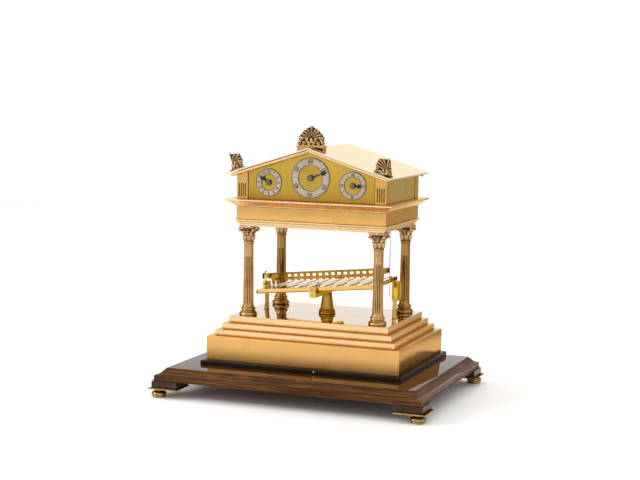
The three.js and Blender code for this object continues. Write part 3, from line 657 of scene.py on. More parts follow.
def card(name, x0, y0, x1, y1, z0, z1, grey):
    """A grey reflector card that only reflections see."""
    me = bpy.data.meshes.new(name)
    me.from_pydata([(x0, y0, z0), (x1, y1, z0), (x1, y1, z1), (x0, y0, z1)], [], [[0, 1, 2, 3]])
    mt = bpy.data.materials.new(name)
    mt.use_nodes = True
    tt_ = mt.node_tree
    tt_.nodes.clear()
    o_ = tt_.nodes.new("ShaderNodeOutputMaterial")
    e_ = tt_.nodes.new("ShaderNodeEmission")
    e_.inputs["Color"].default_value = (*grey, 1)
    tt_.links.new(e_.outputs[0], o_.inputs["Surface"])
    me.materials.append(mt)
    ob_ = bpy.data.objects.new(name, me)
    bpy.context.scene.collection.objects.link(ob_)
    ob_.visible_camera = False
    ob_.visible_diffuse = False
    ob_.visible_shadow = False
    ob_.visible_transmission = False
    return ob_


card("card_back_right", 0.16, 0.56, 0.62, 0.34, 0.0, 0.42, (0.56, 0.52, 0.50))

# ------------------------------------------------------------------ wooden board
bottom = [(198.6, 148.6, -87.5), (200.0, 150.0, -87.3), (200.3, 150.3, -86.8), (200.3, 150.3, -85.4), (200.0, 150.0, -84.9),
          (199.4, 149.4, -84.7), (199.25, 149.25, -84.3), (199.5, 149.5, -83.9), (199.6, 149.6, -83.0), (199.6, 149.6, -80.2),
          (199.4, 149.4, -79.5), (198.7, 148.7, -79.15), (197.5, 147.5, -79.0)]
ogee = [(x, x - 50.0, z) for x, z in spline([(197.4, -78.7), (194.6, -77.9), (191.9, -76.2), (189.9, -73.9), (188.9, -72.4), (188.5, -72.0)], 4)]
topm = [(187.4, 137.4, -71.95), (187.0, 137.0, -71.6), (186.9, 136.9, -70.8), (186.5, 136.5, -70.1), (185.9, 135.9, -69.8), (185.3, 135.3, -69.7)]
m = M().add(rect(bottom + ogee + topm, 0, -18.5))
ob = make(m, "wood_board_moulded", WOODE, nodes=("wood_board",), angle=28)
ob.data.materials.append(WOOD)
for p in ob.data.polygons:
    if p.normal.z > 0.95:
        p.material_index = 1
for n, sx_, sy_ in (("front_left", -1, -1), ("front_right", 1, -1), ("back_left", -1, 1), ("back_right", 1, 1)):
    x1, x0 = sx_ * 202.3, sx_ * 162.3
    y1, y0 = -18.5 + sy_ * 152.3, -18.5 + sy_ * 112.3
    m = M().add(block(min(x0, x1), min(y0, y1), -97, max(x0, x1), max(y0, y1), -87.7))
    make(m, "wood_corner_" + n, BLOCKW, bevel=0.6, seg=3)
    # corner plate and turned bun
    px, py = sx_ * 183.8, -18.5 + sy_ * 133.8
    m = M().add(rect([(21.6, 21.6, -99.1), (22.0, 22.0, -98.8), (22.0, 22.0, -97.6), (21.6, 21.6, -97.3)], px, py))
    prof = [(0, -99.0), (5.2, -99.0), (5.2, -101.2)] + spline([(5.6, -101.9), (8.2, -102.7), (10.3, -104.1), (11.0, -105.7), (10.9, -106.9), (10.0, -107.7)], 4) + \
        [(9.2, -108.0), (9.2, -108.3)] + spline([(9.6, -108.8), (9.7, -109.6), (9.1, -110.5), (7.6, -111.0)], 3) + [(0, -111.0)]
    m.add(lathe(prof, 64, sx_ * 193.8, -18.5 + sy_ * 143.8))
    make(m, "foot_turned_" + n, FOOTB, nodes=("foot_" + n,), angle=32)

PLAQ = metal("plaque_bronze", (0.34, 0.19, 0.09), 0.30, var=0.10, bumpk=0.1, tint=(0.50, 0.36, 0.18))
# plaque with two pins
m = M().add(rect([(34, 4.5, -69.4), (34, 4.5, -68.85), (33.7, 4.2, -68.6)], -2.5, -142))
for sx_ in (-1, 1):
    m.add(lathe([(0, -68.62), (0.9, -68.62), (0.85, -68.35), (0.5, -68.15), (0, -68.1)], 20, -2.5 + sx_ * 31, -142))
make(m, "plaque_blank", PLAQ, nodes=("blank_plaque",))

# black plinth with a rounded upper edge, and the small stud in its front
m = M().add(rect([(152.8, 112.8, -69.4), (152.8, 112.8, -65.0), (152.5, 112.5, -64.2), (151.8, 111.8, -63.5), (150.8, 110.8, -63.2)]))
make(m, "plinth_black", BLACK, nodes=("black_plinth",), angle=40)
m = M().add(lathe([(0, -112.6), (1.5, -112.6), (1.5, -113.3), (1.2, -113.9), (0.6, -114.2), (0, -114.3)], 24), about_y(24, -65.9))
make(m, "plinth_stud", POLISHED)


# ------------------------------------------------------------------ stepped base
def stage(w, d, z0, z1, foot=0.55):
    prof = [(w - foot, z0), (w - foot, z0 + 0.45), (w - 0.12, z0 + 0.75), (w, z0 + 1.1)]
    prof += [(w, z1 - 1.3)] + [(w - 1.3 * (1 - cos(pi / 2 * q / 6)), z1 - 1.3 * (1 - sin(pi / 2 * q / 6))) for q in range(1, 7)]
    lv = [(a, d - (w - a), z) for a, z in prof]
    # painted shade: a dark line along the foot of each riser, where shade falls
    cav = [1.0, 1.0, 0.5] + [0.0] * (len(lv) - 3)
    return rect(lv, 0, 0, cav)


# the platform's top takes the pale polished copy, whose paleness is painted reflection
for node_, nm, dims, mt, sl in (("base_block", "base_stage_block", (146.8, 104.5, -62.9, -27.8), STEP, "satin_brass"),
                                ("lower_step", "base_stage_lower", (137.4, 96.6, -27.5, -19.4), STEP, "satin_brass"),
                                ("upper_step", "base_stage_upper", (129.8, 88.9, -19.1, -10.4), STEP, "satin_brass"),
                                ("platform", "base_stage_platform", (122.2, 81.4, -10.1, 0.0), PLATFORM_TOP_SHEEN, "polished_brass")):
    # the base block's sides take a darker copy of its front brass, as painted shade
    front = BASEF if node_ == "base_block" else STEP
    ob = make(M().add(stage(*dims)), nm, BASE_SIDE_SHADED, nodes=(node_,), angle=45)
    ob.data.materials.append(front)
    ob.data.materials.append(mt)
    for p in ob.data.polygons:
        if p.normal.z > 0.9:
            p.material_index = 2
        elif abs(p.normal.y) > 0.6 or node_ != "base_block":
            p.material_index = 1

# ------------------------------------------------------------------ columns and capitals
CORN = (("front_left", -1, -1), ("front_right", 1, -1), ("back_left", -1, 1), ("back_right", 1, 1))
NF, PER = 18, 10


def column():
    base = [(0, 0.3)] + [(12.2, 0.3), (12.7, 0.6), (13.0, 1.3), (13.1, 2.2), (12.9, 3.1), (12.2, 3.9), (11.9, 4.1), (11.9, 4.6)] + \
        spline([(11.4, 5.0), (10.2, 5.7), (9.6, 6.7), (9.7, 7.8), (10.1, 8.4)], 3) + [(10.3, 8.7), (10.6, 9.4), (10.55, 10.3), (10.1, 11.0), (9.5, 11.3), (9.3, 11.4), (9.3, 12.0)] + \
        spline([(9.2, 12.1), (8.4, 13.0), (7.95, 14.2), (7.8, 15.2)], 2)
    n = NF * PER
    rows = []
    # painted shade in the grooves of the base and the neck
    for r, z in base:
        rows.append((r, z, 0.0, 0.5 if 4.0 < z < 5.1 or 6.3 < z < 7.9 or 11.2 < z < 12.05 or z < 0.5 else 0.0))
    zs = [15.8, 16.4, 17.2, 18.2] + [lerp(19.5, 84.0, i / 14) for i in range(15)] + [85.2, 86.2, 87.0, 87.6]
    for z in zs:
        d = smooth01((z - 15.6) / 2.4) * smooth01((87.6 - z) / 2.4)
        rows.append((lerp(7.8, 6.7, (z - 17) / 88.0), z, d, 0.0))
    for r, z in [(6.88, 90.0), (6.71, 104.0), (6.7, 104.6), (6.9, 105.0), (7.5, 105.5), (7.75, 106.2), (7.75, 107.2), (7.5, 107.9), (6.95, 108.3), (6.9, 109.0), (0, 109.0)]:
        rows.append((r, z, 0.0, 0.5 if 104.4 < z < 104.9 or 107.8 < z < 108.6 else 0.0))
    v, f, c, idx = [], [], [], []
    for r, z, d, shade_amt in rows:
        if r < 1e-6:
            idx.append([len(v)]); v.append((0, 0, z)); c.append(0.0)
            continue
        row = []
        for i in range(n):
            a = 2 * pi * i / n
            ph = (i % PER) / PER
            g = 0.0
            if ph < 0.5:
                g = sin(pi * ph / 0.5) ** 0.7
            row.append(len(v))
            rr = r - 0.72 * d * g
            v.append((rr * cos(a), rr * sin(a), z))
            # painted shade in each flute, darkest along its deepest line
            c.append(max(shade_amt, d * (g ** 0.8)))
        idx.append(row)
    for a, b in zip(idx, idx[1:]):
        for i in range(n):
            j = (i + 1) % n
            if len(a) == 1:
                f.append([a[0], b[j], b[i]])
            elif len(b) == 1:
                f.append([a[i], a[j], b[0]])
            else:
                f.append([a[i], a[j], b[j], b[i]])
    return v, f, c


def leaf(ang, r0, z0, h, width, lean, cr, teeth=3, thick=0.7, nu=14, nv=18, pw=2.0):
    """An acanthus leaf standing on the bell: it leans out, and its tip curls over and down."""
    v, f, c = [], [], []
    ca, sa = cos(ang), sin(ang)
    for side_ in (0, 1):
        for j in range(nv + 1):
            s = j / nv
            if s < 0.7:
                q = s / 0.7
                r, z = r0 + lean * q ** pw, z0 + h * q
            else:
                q = (s - 0.7) / 0.3 * 2.7
                r, z = r0 + lean + cr * (1 - cos(q)), z0 + h + cr * sin(q)
            w = width * (0.80 + 0.34 * sin(pi * min(s * 0.9 + 0.05, 1.0)))
            if s > 0.72:
                w *= max(0.30, 1 - ((s - 0.72) / 0.28) ** 1.8 * 0.7)
            w *= 1 + 0.13 * cos(2 * pi * teeth * s)
            for i in range(nu + 1):
                u = 2.0 * i / nu - 1
                ridge = 0.42 * (0.5 + 0.5 * cos(u * pi * 4)) + (0.35 if abs(u) < 0.1 else 0.0)
                rr = r - 0.16 * width * u * u + (ridge if side_ == 0 else -thick)
                x, y = rr, u * w
                v.append((x * ca - y * sa, x * sa + y * ca, z - 0.06 * h * abs(u) * s))
                # painted shade: darker between the ribs and towards the edges, more so low on the leaf, and the whole
                # underside dark
                edge = smooth01((abs(u) - 0.72) / 0.28)
                val = 0.75 * (1 - ridge / 0.42 if ridge < 0.42 else 0) ** 2 + 0.8 * edge
                c.append(min(1.0, val * (1.15 - 0.6 * s)) if side_ == 0 else 0.85)
    st = (nu + 1) * (nv + 1)
    for j in range(nv):
        for i in range(nu):
            a = j * (nu + 1) + i
            q = [a, a + 1, a + nu + 2, a + nu + 1]
            f.append(q)
            f.append([k + st for k in reversed(q)])
    for j in range(nv):
        for i, flip in ((0, False), (nu, True)):
            a, b = j * (nu + 1) + i, (j + 1) * (nu + 1) + i
            q = [a, b, b + st, a + st]
            f.append(q[::-1] if flip else q)
    for i in range(nu):
        a, b = i, i + 1
        f.append([a + st, b + st, b, a])
        a, b = nv * (nu + 1) + i, nv * (nu + 1) + i + 1
        f.append([a, b, b + st, a + st])
    return v, f, c


def capital():
    m = M()
    bell = [(0, 109.3), (7.3, 109.3), (7.7, 110.0), (7.2, 110.9), (7.0, 112), (7.0, 119), (7.2, 122.5), (8.4, 125.6), (10.8, 128.0), (10.8, 128.7), (0, 128.7)]
    v, f = lathe(bell, 48)
    # painted shade: the bell behind the leaves is painted dark
    m.add((v, f, [0.85] * len(v)))
    for k in range(8):
        m.add(leaf(2 * pi * k / 8 + pi / 8, 7.75, 109.9, 7.0, 2.9, 0.9, 0.95))
    for k in range(8):
        m.add(leaf(2 * pi * k / 8, 7.35, 110.4, 13.4, 3.0, 3.9, 1.45, teeth=4, pw=3.4))
    # corner volutes under the abacus, and a small one at each side's middle
    for q in range(4):
        a = q * pi / 2 + pi / 4
        path, rad = [], []
        for i in range(44):
            s = i / 43
            if s < 0.35:
                u = s / 0.35
                r, z = lerp(7.9, 14.3, u ** 1.9), lerp(116.5, 127.4, u ** 0.8)
            else:
                u = (s - 0.35) / 0.65
                th = pi / 2 - u * 2 * pi * 1.35
                ro = lerp(2.35, 0.35, u ** 0.9)
                r, z = 14.25 + ro * cos(th), 125.05 + ro * sin(th)
            path.append((r * cos(a), r * sin(a), z))
            rad.append(lerp(0.95, 0.50, s))
        m.add(tube(path, rad, 8, 1.8, up=(-sin(a), cos(a), 0)))
        b = q * pi / 2
        for sgn in (-1, 1):
            path, rad = [], []
            for i in range(30):
                u = i / 29
                th = -pi / 2 + sgn * 0.0 + u * 2 * pi * 1.25
                ro = lerp(2.0, 0.3, u)
                t_, z = sgn * (2.3 + ro * cos(th)), 124.9 + ro * sin(th)
                r = 10.7
                path.append((r * cos(b) - t_ * sin(b), r * sin(b) + t_ * cos(b), z))
                rad.append(lerp(0.55, 0.3, u))
            m.add(tube(path, rad, 7, 1.2, up=(cos(b), sin(b), 0)))
    # concave abacus with a moulded edge
    out = []
    for q in range(4):
        a = q * pi / 2 + pi / 4
        pts = [(a - 0.10, 16.4), (a + 0.10, 16.4)]
        for i in range(1, 8):
            u = i / 8
            ang = a + 0.10 + (pi / 2 - 0.20) * u
            pts.append((ang, 11.2 + 5.2 * abs(2 * u - 1) ** 1.7))
        out += pts
    lv = [(0.90, 128.2), (0.93, 128.6), (0.93, 129.2), (0.965, 129.6), (1.0, 130.1), (1.0, 131.0), (0.99, 131.2)]
    v, f, n = [], [], len(out)
    for k, z in lv:
        v += [(k * r * cos(a), k * r * sin(a), z) for a, r in out]
    for j in range(len(lv) - 1):
        for i in range(n):
            f.append([j * n + i, j * n + (i + 1) % n, (j + 1) * n + (i + 1) % n, (j + 1) * n + i])
    f += [list(reversed(range(n))), [(len(lv) - 1) * n + i for i in range(n)]]
    # painted shade under the abacus: its two lowest levels are painted darker
    m.add((v, f, [0.5 if k < 2 * n else 0.0 for k in range(len(v))]))
    # flower at the middle of each side
    for q in range(4):
        b = q * pi / 2
        for k in range(5):
            th = 2 * pi * k / 5
            v, f = lathe([(0, -0.3), (0.75, -0.1), (0.8, 0.25), (0.4, 0.6), (0, 0.65)], 10)
            m.add((v, f), lambda x, y, z, th=th, b=b: ((11.2 + z) * cos(b) - (x + 1.0 * cos(th)) * sin(b), (11.2 + z) * sin(b) + (x + 1.0 * cos(th)) * cos(b), 129.7 + y + 1.0 * sin(th)))
    return m


COL, CAP = column(), capital()
for n, sx_, sy_ in CORN:
    mv = lambda x, y, z, a=sx_ * 100, b=sy_ * 62.2: (x + a, y + b, z)
    # the back columns take the darker copy as painted shade
    make(M().add(COL, mv), "column_fluted_" + n, COLUMN if sy_ < 0 else COLUMN_BACK_SHADED, nodes=("column_" + n,), angle=38)
    make(M().add((CAP.v, CAP.f, CAP.c), mv), "capital_leaved_" + n, PATINA, nodes=("capital_" + n,), angle=50)

# ------------------------------------------------------------------ entablature
ROD_X, ROD_Y = 95.3, 3.2


def moulding(prof, d_off):
    return [(a, a - d_off, z) for a, z in prof]


slot_cut = M().add(block(ROD_X - 8, ROD_Y - 2.6, 120, ROD_X + 8, ROD_Y + 2.6, 180))
arch = [(108.6, 131.5), (110.3, 131.5), (110.7, 131.8), (110.7, 134.6), (110.9, 134.9), (112.6, 135.2), (112.8, 135.4), (112.8, 137.6)] + \
       spline([(113.0, 137.8), (114.6, 138.3), (115.6, 139.2), (116.0, 140.3)], 4) + [(116.0, 140.9), (115.7, 141.2)]
ob = make(M().add(rect(moulding(arch, 38.6))), "architrave_moulded", MOULD, nodes=("architrave",), angle=33)
boolean(ob, M().add(block(-104, -65, 134.7, 104, 65, 150)))
boolean(ob, slot_cut)
fr = [(113.6, 141.5), (113.9, 141.65), (114.0, 141.9), (114.0, 159.6), (113.9, 159.85), (113.6, 160.0)]
make(M().add(ringrect(moulding(fr, 38.6), (110, 71.4))), "frieze_plain", SATIN, nodes=("frieze",), angle=45)
cor = [(114.4, 160.3), (115.0, 160.35), (115.3, 160.7), (115.3, 161.5), (115.6, 161.8)] + spline([(116.2, 162.0), (118.2, 162.9), (119.9, 164.5), (121.4, 166.4), (123.6, 167.6)], 6) + \
      [(124.6, 167.9), (124.9, 168.2)] + spline([(125.2, 168.5), (126.2, 169.0), (126.5, 169.8), (126.5, 170.6)], 3) + [(126.4, 171.1), (126.0, 171.4)]
cl_ = [(a, 76.0 + (a - 114.4) * (89.4 - 76.0) / (126.5 - 114.4), z) for a, z in cor]
ob = make(M().add(rect(cl_)), "cornice_moulded", MOULD, nodes=("cornice",), angle=30)
boolean(ob, M().add(block(-108, -69.4, 150, 108, 69.4, 168.4)))
boolean(ob, slot_cut)

# ------------------------------------------------------------------ pediment
ATTIC_Z, RIDGE_Z, EAVE_X, ROOF_T = 171.7, 248.1, 124.5, 2.2
SLOPE = (248.1 - 209.0) / 124.5
under = lambda x: RIDGE_Z - ROOF_T - SLOPE * abs(x)
for n, sx_, sy_ in CORN:
    # painted shade: a thin band of each pilaster near |y| 74.5 mm, above the attic floor, is painted dark for the
    # shade in its slot
    bevelled("pilaster_" + n, "pilaster_slotted_" + n, SATIN, 0.3, 2, cav=lambda x, y, z: 1.0 if 74.2 < abs(y) < 74.9 and z > ATTIC_Z + 2 else 0.0)
bevelled("dial_plate", "dial_plate_gilt", DIALP, 0.15, 1)
bevelled("back_panel", "back_panel_gilt", DIALP, 0.3, 2)
for s in ("left", "right"):
    bevelled("side_panel_" + s, "side_panel_gilt_" + s, SIDEB, 0.2, 1)
    bevelled("roof_panel_" + s, "roof_plate_" + s, ROOF_SHEEN, 0.45, 3)
for s, d in (("front", -1), ("back", 1)):
    prof = [(75.8, 0.8), (86.3, 0.8), (86.6, 1.1), (86.6, 3.9), (86.3, 4.3)] + spline([(85.6, 4.4), (84.6, 4.6), (83.6, 5.1)], 3) + [(83.0, 5.5), (75.8, 5.5)]
    v, f, k = [], [], len(prof)
    for x in (-118.5, 0.0, 118.5):
        v += [(x, d * y, under(x) - t_) for y, t_ in prof]
    for a in range(2):
        for i in range(k):
            j = (i + 1) % k
            f.append([a * k + i, a * k + j, (a + 1) * k + j, (a + 1) * k + i])
    f += [list(range(k)), [2 * k + i for i in reversed(range(k))]]
    make(M().add((v, f)), "raking_moulded_" + s, MOULD, nodes=("raking_moulding_" + s,), angle=30)


# ------------------------------------------------------------------ finials
def palmette(m, w, h, n, yt, fn, zb=0.0, ex=2.0, point=0.13):
    """Carved palmette: broad leaves fanning from a bud, over a row of scrolls. fn places (across, through, up)."""
    cz = zb + h * 0.34
    env = lambda a: (abs(sin(a) / (w * 0.465)) ** ex + abs(cos(a) / (h * 0.66)) ** ex) ** (-1.0 / ex) * (1.0 - point * sin(min(abs(a), pi / 2) * 2) ** 2)
    amax = 1.42
    for i in range(n):
        a = (i / (n - 1) - 0.5) * 2 * amax
        L = env(a) * (1.0 if i % 2 == (n // 2) % 2 else 0.90)
        half_ = L * amax / (n - 1) * 0.74
        path, rad = [], []
        for k in range(15):
            s = 0.10 + 0.90 * k / 14
            aa = a + 0.12 * (1 if a > 0.01 else -1 if a < -0.01 else 0) * s * s * s
            path.append((sin(aa) * L * s, -yt * 0.10 * s, cz + cos(aa) * L * s))
            rad.append(half_ * (0.30 + 0.70 * min(1.0, s / 0.8)) * (1.0 if s < 0.86 else math.sqrt(max(0.04, 1 - ((s - 0.86) / 0.14) ** 2 * 0.96))))
        nn = 14
        v, f = tube(path, rad, nn, yt / half_ * 0.72)
        # painted shade: each leaf is darker at its sides, where the leaves meet, and towards its base; the end caps
        # too
        c = []
        for q in range(len(v)):
            if q >= 15 * nn:
                c.append(0.6)
                continue
            b = abs(cos(2 * pi * (q % nn) / nn))
            c.append(min(1.0, 1.1 * b ** 1.6 + 0.45 * (1 - (q // nn) / 14.0)))
        m.add((v, f, c), fn)
        # raised rib along the leaf
        rib = [(p[0], -yt * 0.70, p[2]) for p in path[3:-1]]
        m.add(tube(rib, [half_ * 0.16] * len(rib), 6), fn)
    # dark sheet behind the leaves: painted shade in the gaps between them
    web = [(-w * 0.45, zb + h * 0.02)] + [(sin(a) * env(a) * 0.90, cz + cos(a) * env(a) * 0.90) for a in [(-1.5 + 3.0 * k / 24) for k in range(25)]] + [(w * 0.45, zb + h * 0.02)]
    v, f = plate(web, -yt * 0.35, yt * 0.35)
    m.add((v, f, [1.0] * len(v)), fn)
    # scrolls along the foot, two tiers
    for sgn in (-1, 1):
        for cx_, cz_, ro0, turns, hand_ in ((0.10, 0.125, 0.10, 1.5, -1), (0.235, 0.120, 0.105, 1.6, 1), (0.40, 0.135, 0.12, 1.5, 1), (0.165, 0.315, 0.095, 1.4, -1), (0.325, 0.335, 0.105, 1.4, 1)):
            path, rad = [], []
            for k in range(30):
                s = k / 29
                th = -pi * 0.5 + hand_ * s * 2 * pi * turns
                ro = lerp(h * ro0, h * 0.012, s ** 0.85)
                path.append((sgn * (w * cx_ + ro * cos(th)), -yt * (0.52 + 0.25 * s), zb + h * cz_ + ro * sin(th)))
                rad.append(lerp(h * 0.034, h * 0.018, s))
            v, f = tube(path, rad, 8, 1.4)
            # painted shade along the sides of each scroll
            c = [0.55 if (q % 8) in (0, 4) else 0.0 for q in range(len(v))]
            m.add((v, f, c), fn)
    # bud at the middle
    v, f = lathe([(0, -0.5), (0.35, -0.42), (0.5, -0.1), (0.42, 0.25), (0.18, 0.5), (0, 0.56)], 16)
    m.add(([(x * w * 0.12, y * yt * 1.5 - yt * 0.45, zb + h * 0.25 + z * h * 0.26) for x, y, z in v], f, [0.0] * len(v)), fn)


zb = RIDGE_Z + 0.3
m = M()
# slab under the palmette; painted shade darkens its sloped plate slightly and its recessed middle band more
v, f = plate([(0, zb), (20.5, zb - SLOPE * 20.5), (20.5, zb + 0.8), (-20.5, zb + 0.8), (-20.5, zb - SLOPE * 20.5)], -77.5, -68.5)
m.add((v, f, [0.25] * len(v)))
m.add(block(-21.4, -78.1, zb + 0.5, 21.4, -67.9, zb + 1.3))
m.add(block(-20.8, -77.6, zb + 1.3, 20.8, -68.4, zb + 1.9), cav=0.4)
m.add(block(-21.4, -78.1, zb + 1.9, 21.4, -67.9, zb + 2.7))
# painted shadow: a thin dark sheet on the slab's front, right of the middle, stands for the shade in the gap under the
# palmette
v, f = plate([(2.5, zb - 0.5), (19.4, zb - SLOPE * 19.4 + 1.0), (19.4, zb - 0.9), (9.0, zb + 0.2), (3.0, zb + 0.2)], -77.66, -77.4)
m.add((v, f, [1.0] * len(v)))
palmette(m, 44.0, 28.3, 9, 2.4, lambda x, y, z: (x, -73.0 + y, z + zb + 2.5))
ob = make(m, "finial_carved_centre", CARVED, nodes=("finial_centre",), angle=42)
ob.data.materials.append(SATIN)
# the slab takes satin brass, except the painted-shadow sheet, which keeps the near-black shade colour
for p in ob.data.polygons:
    if p.center.z < (zb + 2.75 + 111) / 1000 and ob.data.attributes["cav"].data[p.vertices[0]].value < 0.9:
        p.material_index = 1
for n, s_ in (("left", -1), ("right", 1)):
    # two half palmettes bent round the corner of the roof, on a thin base that follows its slope
    cx, cy = 117.0, -84.8
    roofz = lambda x: RIDGE_Z - SLOPE * abs(x)

    def fn(x, y, z, s_=s_):
        r = 2.6
        if x > r:
            px, py, nx_, ny_ = cx - x, cy, 0.0, -1.0
        elif x < -r:
            px, py, nx_, ny_ = cx, cy - x, 1.0, 0.0
        else:
            a = (r - x) / (2 * r) * pi / 2
            nx_, ny_ = sin(a), -cos(a)
            px, py = cx - r + r * nx_, cy + r + r * ny_
        k = 5.5 * (max(0.0, z) / 25.0) ** 2.0 * math.exp(-(x / 12.0) ** 2)
        px += nx_ * -y + k * 0.70
        py += ny_ * -y - k * 0.70
        return (s_ * px, py, z + roofz(min(px, cx + 1)) + 1.3)
    m = M()
    for x0_, x1_, y0_, y1_ in ((98.2, 120.2, cy - 3.2, cy + 3.2), (113.8, 120.2, cy - 3.2, -66.2)):
        v, f = block(0, y0_, 0, 1, y1_, 1)
        vv = []
        for x, y, z in v:
            px = x0_ if x < 0.5 else x1_
            vv.append((s_ * px, y, roofz(px) + (0.35 if z < 0.5 else 1.6)))
        # the base is painted slightly darker as painted shade
        m.add((vv, f if s_ > 0 else [q[::-1] for q in f], [0.35] * len(vv)))
    sub = M()
    palmette(sub, 36.0, 25.0, 9, 2.0, lambda x, y, z: (x, y, z), ex=2.35, point=0.0)
    vv = [fn(*q) for q in sub.v]
    m.add((vv, sub.f if s_ < 0 else [q[::-1] for q in sub.f], sub.c))
    make(m, "finial_carved_" + n, CARVED, nodes=("finial_" + n,), angle=42)

# ------------------------------------------------------------------ dials
DIALS = {"hour": (-63.9, 196.3, 20.0, 11.6), "minute": (0.0, 205.0, 29.3, 18.4), "seconds": (63.9, 196.3, 20.0, 12.6)}


def flat_mark(pts, y0=-75.66, y1=-75.76):
    return plate(pts, y1, y0)


def arc_line(x, z, r, w, y0=-75.66, y1=-75.76, n=96):
    v, f = lathe_ring([(r - w / 2, y0), (r + w / 2, y0), (r + w / 2, y1), (r - w / 2, y1)], n)
    return [about_y(x, z)(*p) for p in v], f


def bar(x, z, ang, r0, r1, w):
    """A radial mark at an angle clockwise from 12."""
    d = (sin(ang), cos(ang)); s = (cos(ang), -sin(ang))
    return [(x + d[0] * r + s[0] * k, z + d[1] * r + s[1] * k) for r, k in ((r0, -w / 2), (r1, -w / 2), (r1, w / 2), (r0, w / 2))]


def digits(m, x, z, ang, r, text, size):
    cu = bpy.data.curves.new("num", "FONT")
    cu.body, cu.size, cu.align_x, cu.align_y = text, size, "CENTER", "CENTER"
    cu.resolution_u = 3
    cu.offset = 0.16
    o = bpy.data.objects.new("num", cu)
    bpy.context.scene.collection.objects.link(o)
    dg = bpy.context.evaluated_depsgraph_get()
    me = bpy.data.meshes.new_from_object(o.evaluated_get(dg))
    bpy.data.objects.remove(o)
    bm = bmesh.new()
    bm.from_mesh(me)
    ext = bmesh.ops.extrude_face_region(bm, geom=bm.faces[:])
    for e in ext["geom"]:
        if isinstance(e, bmesh.types.BMVert):
            e.co.z -= 1.0
    d = (sin(ang), cos(ang)); s = (cos(ang), -sin(ang))
    v, f = [], []
    bm.verts.ensure_lookup_table()
    for p in bm.verts:
        a, b = p.co.x, p.co.y
        v.append((x + s[0] * a + d[0] * (r + b), -75.76 if p.co.z > -0.5 else -75.66, z + s[1] * a + d[1] * (r + b)))
    f = [[q.index for q in p.verts] for p in bm.faces]
    bm.free()
    m.add((v, f))


for n, (x, z, ro, ri) in DIALS.items():
    # ring with broken edges and a slight step at each border
    prof = [(ri, -74.7), (ri, -75.45), (ri + 0.25, -75.7), (ri + 0.55, -75.7), (ro - 0.55, -75.7), (ro - 0.25, -75.7), (ro, -75.45), (ro, -74.7)]
    v, f = lathe_ring(prof, 128)
    make(M().add((v, f), about_y(x, z)), "ring_silvered_" + n, RING, nodes=("chapter_ring_" + n,), angle=30)
    # turned centre with fine circular graining
    hole = 3.1 if n == "minute" else 2.5
    prof = [(hole, -74.44), (hole, -74.8)]
    k = 0
    rr = hole + 0.3
    while rr < ri - 0.5:
        prof.append((rr, -74.86 if k % 2 else -74.8))
        rr += 0.35
        k += 1
    prof += [(ri - 0.15, -74.8), (ri - 0.15, -74.44)]
    v, f = lathe_ring(prof, 96)
    make(M().add((v, f), about_y(x, z)), "centre_grained_" + n, DIALC, angle=60)
    m = M()
    m.add(arc_line(x, z, ro - 0.45, 0.85))
    m.add(arc_line(x, z, ri + 0.42, 0.75))
    mk = M()
    if n == "minute":
        mk.add(arc_line(x, z, ro - 2.2, 0.16))
        for i in range(60):
            mk.add(flat_mark(bar(x, z, 2 * pi * i / 60, ro - (2.2 if i % 5 else 3.2), ro - 0.5, 0.22 if i % 5 else 0.6)))
        for i, tx in enumerate(("60", "10", "20", "30", "40", "50")):
            digits(mk, x, z, 2 * pi * i / 6, (ri + ro) / 2 - 0.5, tx, 8.2)
    elif n == "hour":
        for i in range(60):
            mk.add(flat_mark(bar(x, z, 2 * pi * i / 60, ro - (1.3 if i % 5 else 1.7), ro - 0.5, 0.18 if i % 5 else 0.42)))
        for i in range(12):
            digits(mk, x, z, 2 * pi * i / 12, (ri + ro) / 2 - 0.5, str(i or 12), 5.6)
    else:
        for i in range(60):
            mk.add(flat_mark(bar(x, z, 2 * pi * i / 60, ro - 1.9, ro - 0.6, 0.18 if i % 5 else 0.42)))
        for i, tx in enumerate(("60", "15", "30", "45")):
            digits(mk, x, z, 2 * pi * i / 4, (ri + ro) / 2 - 0.4, tx, 5.4)
        for i in range(12):
            if i % 3:
                a = 2 * pi * i / 12
                c_ = circle(x + sin(a) * ((ri + ro) / 2 - 0.5), z + cos(a) * ((ri + ro) / 2 - 0.5), 0.75, 12)
                mk.add(flat_mark(c_))
    make(m, "ring_lines_" + n, RINGLINE, angle=30)
    make(mk, "ring_marks_" + n, ENAMEL, angle=30)

